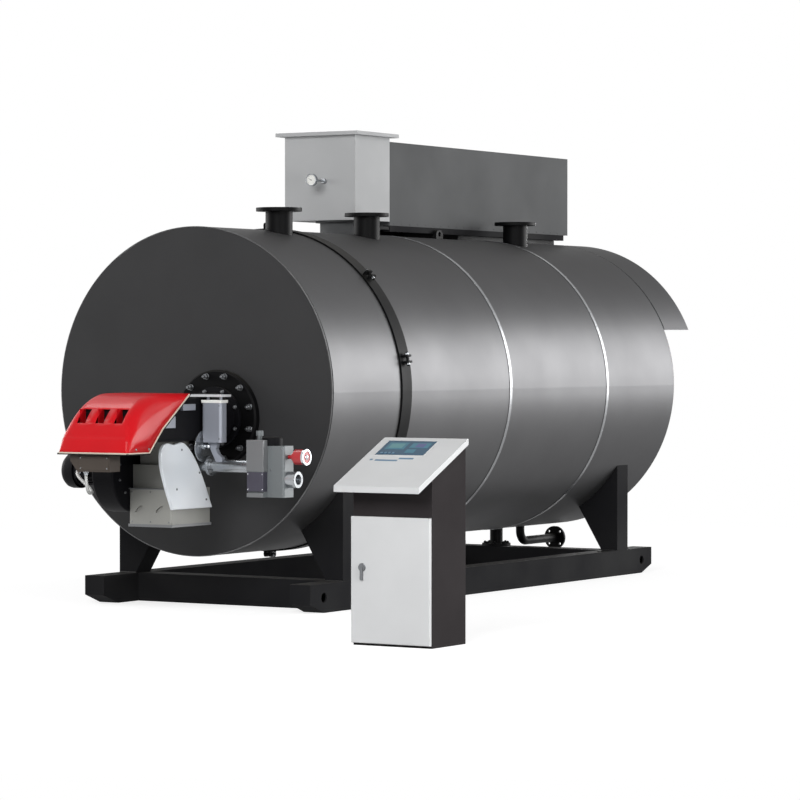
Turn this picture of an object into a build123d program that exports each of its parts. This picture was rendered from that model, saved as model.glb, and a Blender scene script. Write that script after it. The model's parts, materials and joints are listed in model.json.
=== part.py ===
from build123d import *
import os
from math import asin, cos, degrees, radians, sin, sqrt, tan

# A horizontal fire-tube boiler on skids, with its forced-draught burner, gas train, flue gas
# economiser and free-standing control cabinet. Millimetres. Burner at -Y, rear smokebox at +Y, +Z up.
# The origin is the middle of the underside of the front cross beam, on the floor.

# Clearance of a running or sliding fit, and how far a cutter runs past the face that it opens
FIT = 0.3
OVERRUN = 1.0

# Boiler drum and cladding
SHELL_RADIUS = 1000.0
SHELL_LENGTH = 4480.0
DRUM_OVER_SKIDS = 146.0
LAGGED_WALL = 100.0
END_PLATE = 16.0
END_PLATE_REBATE = 6.0
FRONT_OVERHANG = 460.0
SMOKEBOX_LENGTH = 781.0
FRONT_SEAM_FROM_FRONT = 2139.0
REAR_SEAM_FROM_REAR = 1011.0
SEAM_STRIP_WIDTH = 30.0
SEAM_STRIP_HEIGHT = 3.0

# Band over the smokebox joint, drawn tight by lugs: pairs of plates with a bolt through them
BAND_WIDTH = 110.0
BAND_HEIGHT = 10.0
LUG_ANGLES = (0.0, 46.0, 79.0, 180.0, 281.0, 314.0)
LUG_WIDTH = 66.0
LUG_HEIGHT = 42.0
LUG_PLATE = 12.0
LUG_GAP = 26.0
LUG_BOLT_RADIUS = 8.0
LUG_BOLT_RISE = 24.0
LUG_BOLT_STAND_OUT = 18.0

# Rear smokebox: the drum's upper part, drawn past the rear plate
REAR_BOX_DEPTH = 373.0
REAR_BOX_HEIGHT = 612.0
REAR_BOX_WALL = 60.0
REAR_COVER = 14.0
REAR_COVER_MARGIN = 45.0
COVER_HINGE_RADIUS = 16.0
COVER_HINGE_LENGTH = 90.0
COVER_HINGE_RISES = (130.0, 380.0)
COVER_HINGE_ARM = 120.0
COVER_HINGE_INSET = 60.0

# Skids, cross beams and legs
SKID_INSET = 168.0
SKID_WIDTH = 145.0
SKID_HEIGHT = 175.0
SKID_FRONT_SETBACK = 19.0
SKID_REAR_SETBACK = 28.0
SKID_CHAMFER_RUN = 152.0
SKID_CHAMFER_RISE = 56.0
SKID_WALL = 12.0
LIFT_HOLE_RADIUS = 30.0
LIFT_HOLE_FROM_END = 150.0
LIFT_HOLE_FROM_TOP = 84.0
BEAM_DEPTH = 156.0
BEAM_WALL = 10.0
LEG_DEPTH = 156.0
LEG_TOP_WIDTH = 302.0
LEG_FOOT_WIDTH = 124.0

# Flanges to a nominal pressure of 16 bar: outside radius, thickness, pitch radius, hole radius, holes, pipe
DN150 = dict(radius=142.5, thick=22.0, pitch=120.0, hole=11.0, count=8, pipe=84.15, wall=7.1)
DN80 = dict(radius=100.0, thick=20.0, pitch=80.0, hole=9.0, count=8, pipe=44.45, wall=5.6)
DN50 = dict(radius=82.5, thick=18.0, pitch=62.5, hole=9.0, count=4, pipe=30.15, wall=4.5)

# Crown nozzles and lifting eye
NOZZLE_X = 200.0
NOZZLE_FRONT_FROM_FRONT = 640.0
NOZZLE_MIDDLE_FROM_FRONT = 1665.0
NOZZLE_REAR_FROM_REAR = 870.0
NOZZLE_RISE = 130.0
EYE_FROM_REAR = 1580.0
EYE_THICK = 25.0
EYE_WIDTH = 90.0
EYE_RISE = 60.0
EYE_CORNER = 36.0
EYE_HOLE = 16.0
EYE_HOLE_RISE = 32.0

# Bottom connections
DRAIN_FROM_REAR = 780.0
DRAIN_REACH = 125.0
BLOWDOWN_FROM_REAR = 440.0
BLOWDOWN_OVER_SKIDS = 6.85
BLOWDOWN_REACH = 520.0
BLOWDOWN_BEND = 76.0

# Flue gas economiser on the crown
FLUE_RIGHT = -20.0
FLUE_WIDTH = 549.0
FLUE_BOX_FROM_FRONT = 1875.0
FLUE_BOX_DEPTH = 429.0
FLUE_BOX_OVER_CROWN = 100.0
FLUE_BOX_HEIGHT = 555.0
FLUE_SHEET = 6.0
FLUE_FLANGE_OVERHANG = 45.0
FLUE_FLANGE_THICK = 24.0
FLUE_HOLE_RADIUS = 7.0
DUCT_PAST_REAR = 294.0
DUCT_OVER_CROWN = 75.0
DUCT_HEIGHT = 555.0
DUCT_LAGGING = 60.0
RAIL_HEIGHT = 39.0
RAIL_WIDTH = 50.0
RAIL_SHEET = 5.0
RAIL_SETBACK = 60.0
NECK_BEFORE_REAR = 1196.0
NECK_PAST_REAR = 182.0
SUPPORT_RADIUS = 165.0
SUPPORT_COLLAR = 30.0
SUPPORT_COLLAR_THICK = 12.0
SUPPORT_FROM_RIGHT = 215.0

# Flue thermometer
DIAL_X = -254.0
DIAL_OVER_FLOOR = 258.0
DIAL_RADIUS = 40.0
DIAL_DEPTH = 22.0
DIAL_RIM = 5.0
DIAL_RECESS = 4.0
DIAL_STEM = 150.0
DIAL_STEM_RADIUS = 7.0
DIAL_GLAND_RADIUS = 14.0
DIAL_GLAND = 16.0

# Burner: door on the front plate, head and cast casing
BURNER_X = 195.0
BURNER_DROP = 155.0
BURNER_DOOR_RADIUS = 287.5
BURNER_DOOR_THICK = 45.0
BURNER_DOOR_CHAMFER = 10.0
HEAD_FLANGE_RADIUS = 185.0
HEAD_FLANGE_THICK = 22.0
HEAD_RADIUS = 148.0
HEAD_LENGTH = 260.0
CASING_LEFT = 255.0
CASING_RIGHT = 170.0
CASING_DROP = 128.0
CASING_RISE = 132.0
CASING_LENGTH = 640.0
CASING_CORNER = 20.0

# Lugs that brace the tray: near and far distance from the front plate, foot and top against the axis
CASING_LUGS = ((733.0, 850.0, -45.0, 20.0), (530.0, 656.0, 55.0, 90.0))
CASING_LUG_REACH = 20.0

# Hood over the fan end, with its creases, leaning shoulders and slots
HOOD_LEFT = 280.0
HOOD_WIDTH = 490.0
HOOD_NOSE = 1240.0
HOOD_RIM_DROP = 183.0
HOOD_SKIRT = 90.0
HOOD_SKIRT_LEAN = 25.0
HOOD_DOME_RUN = 355.0
HOOD_DOME_SINK = 100.0
HOOD_TOP_RISE = 155.0
HOOD_FOOT = 219.0
HOOD_KNEE_RUN = 132.0
HOOD_KNEE_RISE = 135.0
HOOD_TOP_REAR = 615.0
HOOD_CREASE_SLOPE = 23.5
HOOD_SHOULDER_ANGLE = 16.0
HOOD_SHEET = 5.0
HOOD_SLOTS = 3
HOOD_SLOT_INSET = 115.0
HOOD_SLOT_PITCH = 131.0
HOOD_SLOT_WIDTH = 60.0
HOOD_SLOT_HEIGHT = 80.0
HOOD_SLOT_RISE = 211.0
TRAY_THICK = 10.0
TRAY_REVEAL = 4.0

# Fan volute and its motor
FAN_FROM_FRONT = 648.0
FAN_DROP = 308.0
FAN_GAP = 170.0
FAN_WIDTH = 150.0
VOLUTE_TOP = 180.0
VOLUTE_FRONT = 215.0
VOLUTE_FOOT = 240.0
VOLUTE_REAR = 265.0
VOLUTE_CORNER = 10.0
MOTOR_RADIUS = 92.0
MOTOR_LENGTH = 300.0
MOTOR_CORE_RADIUS = 78.0
MOTOR_COWL = 85.0
MOTOR_COWL_CORNER = 34.0
MOTOR_FLANGE = 16.0
MOTOR_FINS = 20
MOTOR_FIN_THICK = 5.0
MOTOR_FIN_SETBACK = 36.0
MOTOR_BOX_LENGTH = 70.0
MOTOR_BOX_HEIGHT = 84.0
MOTOR_BOX_REACH = 127.0
MOTOR_BOX_FROM_FAN = 155.0

# Terminal box under the hood's tray, and the conduit from it to the motor
TERMINAL_INSET = 60.0
TERMINAL_WIDTH = 280.0
TERMINAL_SETBACK = 40.0
TERMINAL_DEPTH = 100.0
TERMINAL_HEIGHT = 98.0
TERMINAL_BEVEL_RUN = 50.0
TERMINAL_BEVEL_RISE = 60.0
CONDUIT_RADIUS = 10.0
CONDUIT_INSET = 75.0
CONDUIT_DROP = 130.0
CONDUIT_RUN = 170.0
CONDUIT_SHIFT = 64.0
CONDUIT_STUB = 55.0
CONDUIT_BEND = 38.0

# Air intake box with its ledge, louvres and leaning cover
AIR_BOX_WIDTH = 305.0
AIR_BOX_FRONT = 695.0
AIR_BOX_DEPTH = 400.0
AIR_BOX_FLOOR_DROP = 628.0
AIR_BOX_CORNER = 12.0
AIR_LEDGE_DROP = 407.0
AIR_LEDGE_DEPTH = 40.0
AIR_UPPER_DEPTH = 210.0
AIR_UPPER_DROP = 266.0
AIR_NECK_INSET = 30.0
LOUVRE_INSETS = (71.0, 218.0)
LOUVRE_RISE = 102.0
LOUVRE_LENGTH = 62.0
LOUVRE_HEIGHT = 22.0
LOUVRE_TILT = 35.0
LOUVRE_DEPTH = 12.0
COVER_THICK = 20.0
COVER_LEAD = 10.0
COVER_FOOT_DROP = 526.0
COVER_CORNER = 6.0

# Outline of the intake's cover: distance behind and height above the front of its foot
COVER_OUTLINE = ((0.0, 0.0), (-48.0, 92.0), (-92.0, 190.0), (-121.0, 296.0), (-104.0, 370.0), (-60.0, 391.0),
                 (10.0, 381.0), (85.0, 393.0), (168.0, 352.0), (234.0, 284.0), (306.0, 178.0), (354.0, 92.0), (400.0, 0.0))

# Gas line: butterfly with its cam and actuator, pipe, valve block, cap, switch and inlet port
GAS_LINE_FROM_FRONT = 390.0
GAS_PIPE_DROP = 275.0
GAS_PIPE_RADIUS = 38.0
GAS_FLANGE_RADIUS = 60.0
GAS_FLANGE_THICK = 16.0
GAS_FLANGE_GAP = 15.0
CAM_RADIUS = 95.0
CAM_THICK = 8.0
CAM_GAP = 1.0
CAM_RISE = 115.0
CAM_WINDOW_RADIUS = 26.0
CAM_WINDOW_RISE = 48.0
ACTUATOR_GAP = 15.0
ACTUATOR_WIDTH = 137.0
ACTUATOR_DEPTH = 70.0
ACTUATOR_HEIGHT = 250.0
ACTUATOR_TOP_GAP = 18.0
ACTUATOR_CORNER = 16.0
ACTUATOR_POST_RADIUS = 9.0
ACTUATOR_POST_PITCH = 90.0
ACTUATOR_FOOT_DEPTH = 30.0
ACTUATOR_FOOT = ((15.0, 0.0), (85.0, 0.0), (75.0, -40.0), (90.0, -70.0), (117.0, -88.0), (117.0, -115.0),
                 (75.0, -115.0), (50.0, -70.0), (35.0, -40.0))
BRACKET_THICK = 14.0
BRACKET_REACH = 60.0
BRACKET_OVERHANG = 15.0
VALVE_FROM_AXIS = 521.0
VALVE_WIDTH = 233.0
VALVE_DEPTH = 110.0
VALVE_HEIGHT = 300.0
VALVE_DROP = 175.0
VALVE_CORNER = 12.0
COIL_INSET = 6.0
COIL_WIDTH = 112.0
COIL_DEPTH = 45.0
COIL_FOOT = 22.0
COIL_FOOT_GAP = 12.0
FITTING_RADIUS = 14.0
FITTING_HEAD_RADIUS = 22.0
FITTING_HEIGHT = 86.0
FITTING_HEAD = 30.0
FITTING_INSET = 29.0
VALVE_CAP_RADIUS = 60.0
VALVE_CAP_HEIGHT = 50.0
VALVE_CAP_INSET = 115.0
SWITCH_RADIUS = 45.0
SWITCH_LENGTH = 70.0
SWITCH_NECK_RADIUS = 12.0
SWITCH_NECK = 51.0
SWITCH_RING_RADIUS = 25.0
SWITCH_RING = 20.0
SWITCH_RISE = 61.0
PORT_RADIUS = 48.0
PORT_BORE = 30.0
PORT_LENGTH = 61.0
PORT_BORE_DEPTH = 40.0
PORT_DROP = 71.0

# Control cabinet, standing to the right of the drum
CABINET_ASIDE = 1107.0
CABINET_WIDTH = 490.0
CABINET_DEPTH = 350.0
CABINET_AHEAD = 1526.0
CABINET_SHEET = 3.0
DESK_FRONT_HEIGHT = 858.0
DESK_SLOPE = 25.2
DESK_THICK = 34.0
DESK_SIDE_OVERHANG = 18.0
DESK_FRONT_OVERHANG = 169.0
DESK_REAR_OVERHANG = 4.0
DESK_CORNER = 5.0
SCREEN_WIDTH = 305.0
SCREEN_LENGTH = 170.0
SCREEN_THICK = 6.0
SCREEN_PROUD = 1.5
SCREEN_INSET = 53.0
SCREEN_FROM_FRONT = 361.0
DOOR_FOOT_GAP = 14.0
DOOR_HEIGHT = 676.0
DOOR_THICK = 20.0
DOOR_SHEET = 2.0
DOOR_CORNER = 5.0
DOOR_GAP = 7.0
DOOR_FRAME = 28.0
HINGE_INSET = 7.0
HINGE_PIN_RADIUS = 3.0
HINGE_PIN_LENGTH = 14.0
HINGE_BRACKET = 4.0
PIN_CLEARANCE = 0.3
LOCK_INSET = 71.0
LOCK_HEIGHT = 404.0
LOCK_RADIUS = 20.0
LOCK_DEPTH = 8.0
HANDLE_WIDTH = 16.0
HANDLE_LENGTH = 78.0
HANDLE_THICK = 12.0
HANDLE_DROP = 30.0

# Places that follow from the sizes above
FRONT_Y = -FRONT_OVERHANG
REAR_Y = FRONT_Y + SHELL_LENGTH
AXIS_HEIGHT = SKID_HEIGHT + DRUM_OVER_SKIDS + SHELL_RADIUS
CROWN = AXIS_HEIGHT + SHELL_RADIUS
UNDERSIDE = AXIS_HEIGHT - SHELL_RADIUS
BAND_Y = FRONT_Y + SMOKEBOX_LENGTH
SEAMS_Y = (FRONT_Y + FRONT_SEAM_FROM_FRONT, REAR_Y - REAR_SEAM_FROM_REAR)
SKID_OUTER = SHELL_RADIUS - SKID_INSET
SKID_INNER = SKID_OUTER - SKID_WIDTH
SKID_Y0 = FRONT_Y + SKID_FRONT_SETBACK
SKID_Y1 = REAR_Y - SKID_REAR_SETBACK
REAR_LEG_Y = SKID_Y0 + SKID_Y1
LIFT_HOLE_Z = SKID_HEIGHT - LIFT_HOLE_FROM_TOP
NOZZLES_Y = dict(nozzle_front=FRONT_Y + NOZZLE_FRONT_FROM_FRONT, nozzle_middle=FRONT_Y + NOZZLE_MIDDLE_FROM_FRONT,
                 nozzle_rear=REAR_Y - NOZZLE_REAR_FROM_REAR)
EYE_Y = REAR_Y - EYE_FROM_REAR
DRAIN_Y = REAR_Y - DRAIN_FROM_REAR
DRAIN_FACE_Z = UNDERSIDE - DRAIN_REACH
BLOWDOWN_Y = REAR_Y - BLOWDOWN_FROM_REAR
BLOWDOWN_Z = SKID_HEIGHT + BLOWDOWN_OVER_SKIDS + DN50["pipe"]
FLUE_LEFT = FLUE_RIGHT - FLUE_WIDTH
FLUE_Y0 = FRONT_Y + FLUE_BOX_FROM_FRONT
DUCT_Y0 = FLUE_Y0 + FLUE_BOX_DEPTH
DUCT_Y1 = REAR_Y + DUCT_PAST_REAR
FLUE_BOX_Z0 = CROWN + FLUE_BOX_OVER_CROWN
FLUE_BOX_Z1 = FLUE_BOX_Z0 + FLUE_BOX_HEIGHT
DUCT_Z0 = CROWN + DUCT_OVER_CROWN
DUCT_Z1 = DUCT_Z0 + DUCT_HEIGHT
BURNER_Z = AXIS_HEIGHT - BURNER_DROP
HEAD_Y = FRONT_Y - BURNER_DOOR_THICK - HEAD_FLANGE_THICK
CASING_Y1 = HEAD_Y - HEAD_LENGTH
CASING_Y0 = CASING_Y1 - CASING_LENGTH
CASING_X0 = BURNER_X - CASING_LEFT
CASING_X1 = BURNER_X + CASING_RIGHT
CASING_Z0 = BURNER_Z - CASING_DROP
CASING_Z1 = BURNER_Z + CASING_RISE
HOOD_X0 = BURNER_X - HOOD_LEFT
HOOD_X1 = HOOD_X0 + HOOD_WIDTH
HOOD_Y0 = FRONT_Y - HOOD_NOSE
HOOD_Z0 = BURNER_Z - HOOD_RIM_DROP
HOOD_Z1 = BURNER_Z + HOOD_TOP_RISE
FAN_X1 = BURNER_X - FAN_GAP
FAN_X0 = FAN_X1 - FAN_WIDTH
FAN_Y = FRONT_Y - FAN_FROM_FRONT
FAN_Z = BURNER_Z - FAN_DROP
AIR_BOX_X1 = FAN_X1 + AIR_BOX_WIDTH
AIR_BOX_Y0 = FRONT_Y - AIR_BOX_FRONT
GAS_Y = FRONT_Y - GAS_LINE_FROM_FRONT
GAS_Z = BURNER_Z - GAS_PIPE_DROP
VALVE_X0 = BURNER_X + VALVE_FROM_AXIS
VALVE_X1 = VALVE_X0 + VALVE_WIDTH
VALVE_Z0 = GAS_Z - VALVE_DROP
VALVE_Z1 = VALVE_Z0 + VALVE_HEIGHT
CABINET_LEFT = SHELL_RADIUS + CABINET_ASIDE
CABINET_RIGHT = CABINET_LEFT + CABINET_WIDTH
CABINET_FRONT = FRONT_Y - CABINET_AHEAD
CABINET_REAR = CABINET_FRONT + CABINET_DEPTH
DESK_RISE = tan(radians(DESK_SLOPE))
CABINET_FRONT_TOP = DESK_FRONT_HEIGHT + DESK_RISE * DESK_FRONT_OVERHANG - DESK_THICK
CABINET_REAR_TOP = CABINET_FRONT_TOP + DESK_RISE * CABINET_DEPTH
DOOR_Y1 = CABINET_FRONT - DOOR_GAP
DOOR_Y0 = DOOR_Y1 - DOOR_THICK
DOOR_TOP = DOOR_FOOT_GAP + DOOR_HEIGHT
HINGE_X = CABINET_RIGHT - HINGE_INSET
HINGE_Y = DOOR_Y0 + HINGE_INSET


def block(x0, x1, y0, y1, z0, z1):
    """Rectangular block between two corners."""
    return Pos(x0, y0, z0) * Box(x1 - x0, y1 - y0, z1 - z0, align=(Align.MIN, Align.MIN, Align.MIN))


def rod_x(radius, y, z, x0, x1):
    """Round bar along X from x0 to x1."""
    return Pos(x0, y, z) * Rot(0, 90, 0) * Cylinder(radius, x1 - x0, align=(Align.CENTER, Align.CENTER, Align.MIN))


def rod_y(radius, x, z, y0, y1):
    """Round bar along Y from y0 to y1."""
    return Pos(x, y0, z) * Rot(-90, 0, 0) * Cylinder(radius, y1 - y0, align=(Align.CENTER, Align.CENTER, Align.MIN))


def rod_z(radius, x, y, z0, z1):
    """Round bar along Z from z0 to z1."""
    return Pos(x, y, z0) * Cylinder(radius, z1 - z0, align=(Align.CENTER, Align.CENTER, Align.MIN))


def side_plane(x):
    """Plane across X whose own axes are Y and Z."""
    return Plane(origin=(x, 0, 0), x_dir=(0, 1, 0), z_dir=(1, 0, 0))


def side_plate(outline, x0, x1):
    """Closed (y, z) outline drawn out from x0 to x1."""
    return extrude(side_plane(x0) * make_face(Polyline(outline, close=True)), x1 - x0)


def corners_along(shape, axis):
    """Straight edges of a block that run along an axis."""
    return shape.edges().filter_by(GeomType.LINE).filter_by(axis)


def drum_bar(radius, y0, y1):
    """Solid round of the drum's axis."""
    return rod_y(radius, 0, AXIS_HEIGHT, y0, y1)


def drum_ring(outer, inner, y0, y1):
    """Ring about the drum's axis."""
    return drum_bar(outer, y0, y1) - drum_bar(inner, y0 - OVERRUN, y1 + OVERRUN)


def cladding_form():
    """Drum with its seam strips, a running fit larger, for cutting what sits on it."""
    form = drum_bar(SHELL_RADIUS + FIT, FRONT_Y, REAR_Y + REAR_BOX_DEPTH)
    half = SEAM_STRIP_WIDTH / 2 + FIT
    for y in SEAMS_Y:
        form += drum_bar(SHELL_RADIUS + SEAM_STRIP_HEIGHT + 2 * FIT, y - half, y + half)
    return form


def bolt_circle(size):
    """Places of a flange's bolt holes, clear of its vertical and level lines."""
    return PolarLocations(size["pitch"], size["count"], 180.0 / size["count"])


def pipe_up(size, x, y, z0, z1, face_z, back_z):
    """Pipe along Z with a drilled flange between face_z, its sealing face, and back_z."""
    low, high = sorted((face_z, back_z))
    pipe = rod_z(size["pipe"], x, y, z0, z1) + rod_z(size["radius"], x, y, low, high)
    pipe -= rod_z(size["pipe"] - size["wall"], x, y, z0 - OVERRUN, z1 + OVERRUN)
    for hole in bolt_circle(size):
        pipe -= Pos(x, y, (low + high) / 2) * hole * Cylinder(size["hole"], 2 * size["thick"])
    return pipe


def crown_nozzle(y):
    """Flanged stub through the lagging of the crown."""
    face = CROWN + NOZZLE_RISE
    return pipe_up(DN150, NOZZLE_X, y, CROWN - LAGGED_WALL, face, face, face - DN150["thick"])


def boiler_shell():
    """Drum courses, end plates, joint band, seam strips and rear smokebox."""
    joints = (FRONT_Y + END_PLATE, BAND_Y + BAND_WIDTH / 2, *SEAMS_Y, REAR_Y - END_PLATE)
    names = ("shell_smokebox", "shell_front", "shell_middle", "shell_rear")
    shell = {name: drum_course(y0, y1) for name, y0, y1 in zip(names, joints, joints[1:])}
    plate_radius = SHELL_RADIUS - END_PLATE_REBATE
    shell["front_plate"] = drum_bar(plate_radius, FRONT_Y, FRONT_Y + END_PLATE)
    shell["rear_plate"] = drum_bar(plate_radius, REAR_Y - END_PLATE, REAR_Y)
    shell["joint_band"] = joint_band()
    shell["seam_strips"] = Compound(children=[seam_strip(y) for y in SEAMS_Y])
    shell["rear_smokebox"] = rear_smokebox()
    shell["rear_smokebox_cover"] = rear_smokebox_cover()
    return shell


def drum_course(y0, y1):
    """Length of the lagged drum, pierced where a nozzle or bottom pipe leaves it."""
    course = drum_ring(SHELL_RADIUS, SHELL_RADIUS - LAGGED_WALL, y0, y1)
    for y in NOZZLES_Y.values():
        if y0 < y < y1:
            course -= rod_z(DN150["pipe"] + FIT, NOZZLE_X, y, AXIS_HEIGHT, CROWN + OVERRUN)
    for size, y in ((DN80, DRAIN_Y), (DN50, BLOWDOWN_Y)):
        if y0 < y < y1:
            course -= rod_z(size["pipe"] + FIT, 0, y, UNDERSIDE - OVERRUN, AXIS_HEIGHT)
    return course


def joint_band():
    """Band over the smokebox joint, with pairs of lugs that its bolts draw together."""
    inner = SHELL_RADIUS + FIT
    band = drum_ring(inner + BAND_HEIGHT, inner, BAND_Y, BAND_Y + BAND_WIDTH)
    foot = inner + BAND_HEIGHT / 2
    bolt = LUG_GAP + 2 * LUG_PLATE + 2 * LUG_BOLT_STAND_OUT
    for angle in LUG_ANGLES:
        place = Pos(0, BAND_Y + BAND_WIDTH / 2, AXIS_HEIGHT) * Rot(0, angle, 0) * Pos(0, 0, foot)
        for side in (-1, 1):
            plate = Box(LUG_PLATE, LUG_WIDTH, LUG_HEIGHT, align=(Align.CENTER, Align.CENTER, Align.MIN))
            plate = fillet(plate.edges().filter_by(Axis.X).group_by(Axis.Z)[-1], LUG_HEIGHT / 3)
            band += place * Pos(side * (LUG_GAP + LUG_PLATE) / 2, 0, 0) * plate
        band += place * Pos(0, 0, LUG_BOLT_RISE) * Rot(0, 90, 0) * Cylinder(LUG_BOLT_RADIUS, bolt)
    return band


def seam_strip(y):
    """Raised strip over a joint of the cladding."""
    inner = SHELL_RADIUS + FIT
    half = SEAM_STRIP_WIDTH / 2
    return drum_ring(inner + SEAM_STRIP_HEIGHT, inner, y - half, y + half)


def above(z, y0, y1):
    """Space over the height z between two stations, wider and higher than the drum."""
    return block(-2 * SHELL_RADIUS, 2 * SHELL_RADIUS, y0, y1, z, z + 2 * SHELL_RADIUS)


def rear_smokebox():
    """Drum's upper segment drawn past the rear plate, hollow and open behind."""
    y1 = REAR_Y + REAR_BOX_DEPTH
    floor = CROWN - REAR_BOX_HEIGHT
    box = drum_bar(SHELL_RADIUS, REAR_Y, y1) & above(floor, REAR_Y, y1)
    inner = drum_bar(SHELL_RADIUS - REAR_BOX_WALL, REAR_Y, y1)
    return box - (inner & above(floor + REAR_BOX_WALL, REAR_Y, y1))


def rear_smokebox_cover():
    """Cover plate of the rear smokebox, with a pair of hinges at its left edge."""
    y0 = REAR_Y + REAR_BOX_DEPTH
    y1 = y0 + REAR_COVER
    rim = SHELL_RADIUS - REAR_COVER_MARGIN
    foot = CROWN - REAR_BOX_HEIGHT + REAR_COVER_MARGIN
    cover = drum_bar(rim, y0, y1) & above(foot, y0, y1)
    for rise in COVER_HINGE_RISES:
        z = foot + rise
        top = z + COVER_HINGE_LENGTH / 2
        edge = -sqrt(rim ** 2 - (top - AXIS_HEIGHT) ** 2)
        x = edge + COVER_HINGE_INSET
        cover += rod_z(COVER_HINGE_RADIUS, x, y0 + COVER_HINGE_RADIUS, top - COVER_HINGE_LENGTH, top)
        strap = COVER_HINGE_LENGTH / 4
        cover += block(x, x + COVER_HINGE_ARM, y0, y0 + COVER_HINGE_RADIUS * 1.5, z - strap, z + strap)
    return cover


def supports():
    """Skids, cross beams and legs."""
    frame = {"skid_right": skid()}
    frame["skid_left"] = mirror(frame["skid_right"], about=Plane.YZ)
    for y, name in ((0.0, "front"), (REAR_LEG_Y, "rear")):
        half = BEAM_DEPTH / 2
        beam = block(-SKID_INNER, SKID_INNER, y - half, y + half, 0, SKID_HEIGHT)
        bore = block(-SKID_INNER - OVERRUN, SKID_INNER + OVERRUN, y - half + BEAM_WALL, y + half - BEAM_WALL,
                     BEAM_WALL, SKID_HEIGHT - BEAM_WALL)
        frame[f"cross_beam_{name}"] = beam - bore
        frame[f"leg_{name}_right"] = leg(y)
        frame[f"leg_{name}_left"] = mirror(frame[f"leg_{name}_right"], about=Plane.YZ)
    return frame


def skid():
    """Right-hand box-section runner with sloped ends and lifting holes in the outer web."""
    outline = [(SKID_Y0, SKID_CHAMFER_RISE), (SKID_Y0 + SKID_CHAMFER_RUN, 0), (SKID_Y1 - SKID_CHAMFER_RUN, 0),
               (SKID_Y1, SKID_CHAMFER_RISE), (SKID_Y1, SKID_HEIGHT), (SKID_Y0, SKID_HEIGHT)]
    face = make_face(Polyline(outline, close=True))
    inner = offset(face, amount=-SKID_WALL, kind=Kind.INTERSECTION)
    beam = extrude(side_plane(SKID_INNER) * face, SKID_WIDTH)
    beam -= extrude(side_plane(SKID_INNER + SKID_WALL) * inner, SKID_WIDTH - 2 * SKID_WALL)
    for y in (SKID_Y0 + LIFT_HOLE_FROM_END, SKID_Y1 - LIFT_HOLE_FROM_END):
        beam -= rod_x(LIFT_HOLE_RADIUS, y, LIFT_HOLE_Z, SKID_OUTER - 2 * SKID_WALL, SKID_OUTER + OVERRUN)
    return beam


def leg(y):
    """Right-hand leg from the skid up to the drum, cut to the drum's curve."""
    top_inner = SKID_OUTER - LEG_TOP_WIDTH
    top = AXIS_HEIGHT - sqrt(SHELL_RADIUS ** 2 - top_inner ** 2)
    outline = [(SKID_OUTER - LEG_FOOT_WIDTH, SKID_HEIGHT), (SKID_OUTER, SKID_HEIGHT), (SKID_OUTER, AXIS_HEIGHT),
               (0, AXIS_HEIGHT), (top_inner, top)]
    face = make_face(Polyline(outline, close=True))
    face -= Pos(0, AXIS_HEIGHT) * Circle(SHELL_RADIUS + FIT)
    plane = Plane(origin=(0, y - LEG_DEPTH / 2, 0), x_dir=(1, 0, 0), z_dir=(0, -1, 0))
    return extrude(plane * face, -LEG_DEPTH)


def bottom_pipes():
    """Drain nozzle and blowdown bend under the rear course."""
    top = UNDERSIDE + LAGGED_WALL
    drain = pipe_up(DN80, 0, DRAIN_Y, DRAIN_FACE_Z, top, DRAIN_FACE_Z, DRAIN_FACE_Z + DN80["thick"])
    end = BLOWDOWN_Y + BLOWDOWN_REACH
    blowdown = blowdown_run(DN50["pipe"], end, top)
    blowdown += rod_y(DN50["radius"], 0, BLOWDOWN_Z, end - DN50["thick"], end)
    blowdown -= blowdown_run(DN50["pipe"] - DN50["wall"], end, top)
    for hole in bolt_circle(DN50):
        place = Pos(0, end - DN50["thick"] / 2, BLOWDOWN_Z) * Rot(90, 0, 0) * hole
        blowdown -= place * Cylinder(DN50["hole"], 2 * DN50["thick"])
    return {"drain_nozzle": drain, "blowdown_pipe": blowdown}


def blowdown_run(radius, end, top):
    """Round bar down from the drum, through a quarter bend and back to the flange."""
    bend_y = BLOWDOWN_Y + BLOWDOWN_BEND
    bend_z = BLOWDOWN_Z + BLOWDOWN_BEND
    drop = rod_z(radius, 0, BLOWDOWN_Y, bend_z, top)
    elbow = revolve(Pos(0, BLOWDOWN_Y, bend_z) * Circle(radius), Axis((0, bend_y, bend_z), (1, 0, 0)), 90)
    return drop + elbow + rod_y(radius, 0, BLOWDOWN_Z, bend_y, end)


def lifting_eye():
    """Lifting lug on the crown."""
    half = EYE_WIDTH / 2
    plate = block(-EYE_THICK / 2, EYE_THICK / 2, EYE_Y - half, EYE_Y + half, CROWN, CROWN + EYE_RISE)
    plate = fillet(plate.edges().filter_by(Axis.X).group_by(Axis.Z)[-1], EYE_CORNER)
    plate -= rod_x(EYE_HOLE, EYE_Y, CROWN + EYE_HOLE_RISE, -EYE_THICK, EYE_THICK)
    return plate - drum_bar(SHELL_RADIUS + FIT, EYE_Y - EYE_WIDTH, EYE_Y + EYE_WIDTH)


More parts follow.
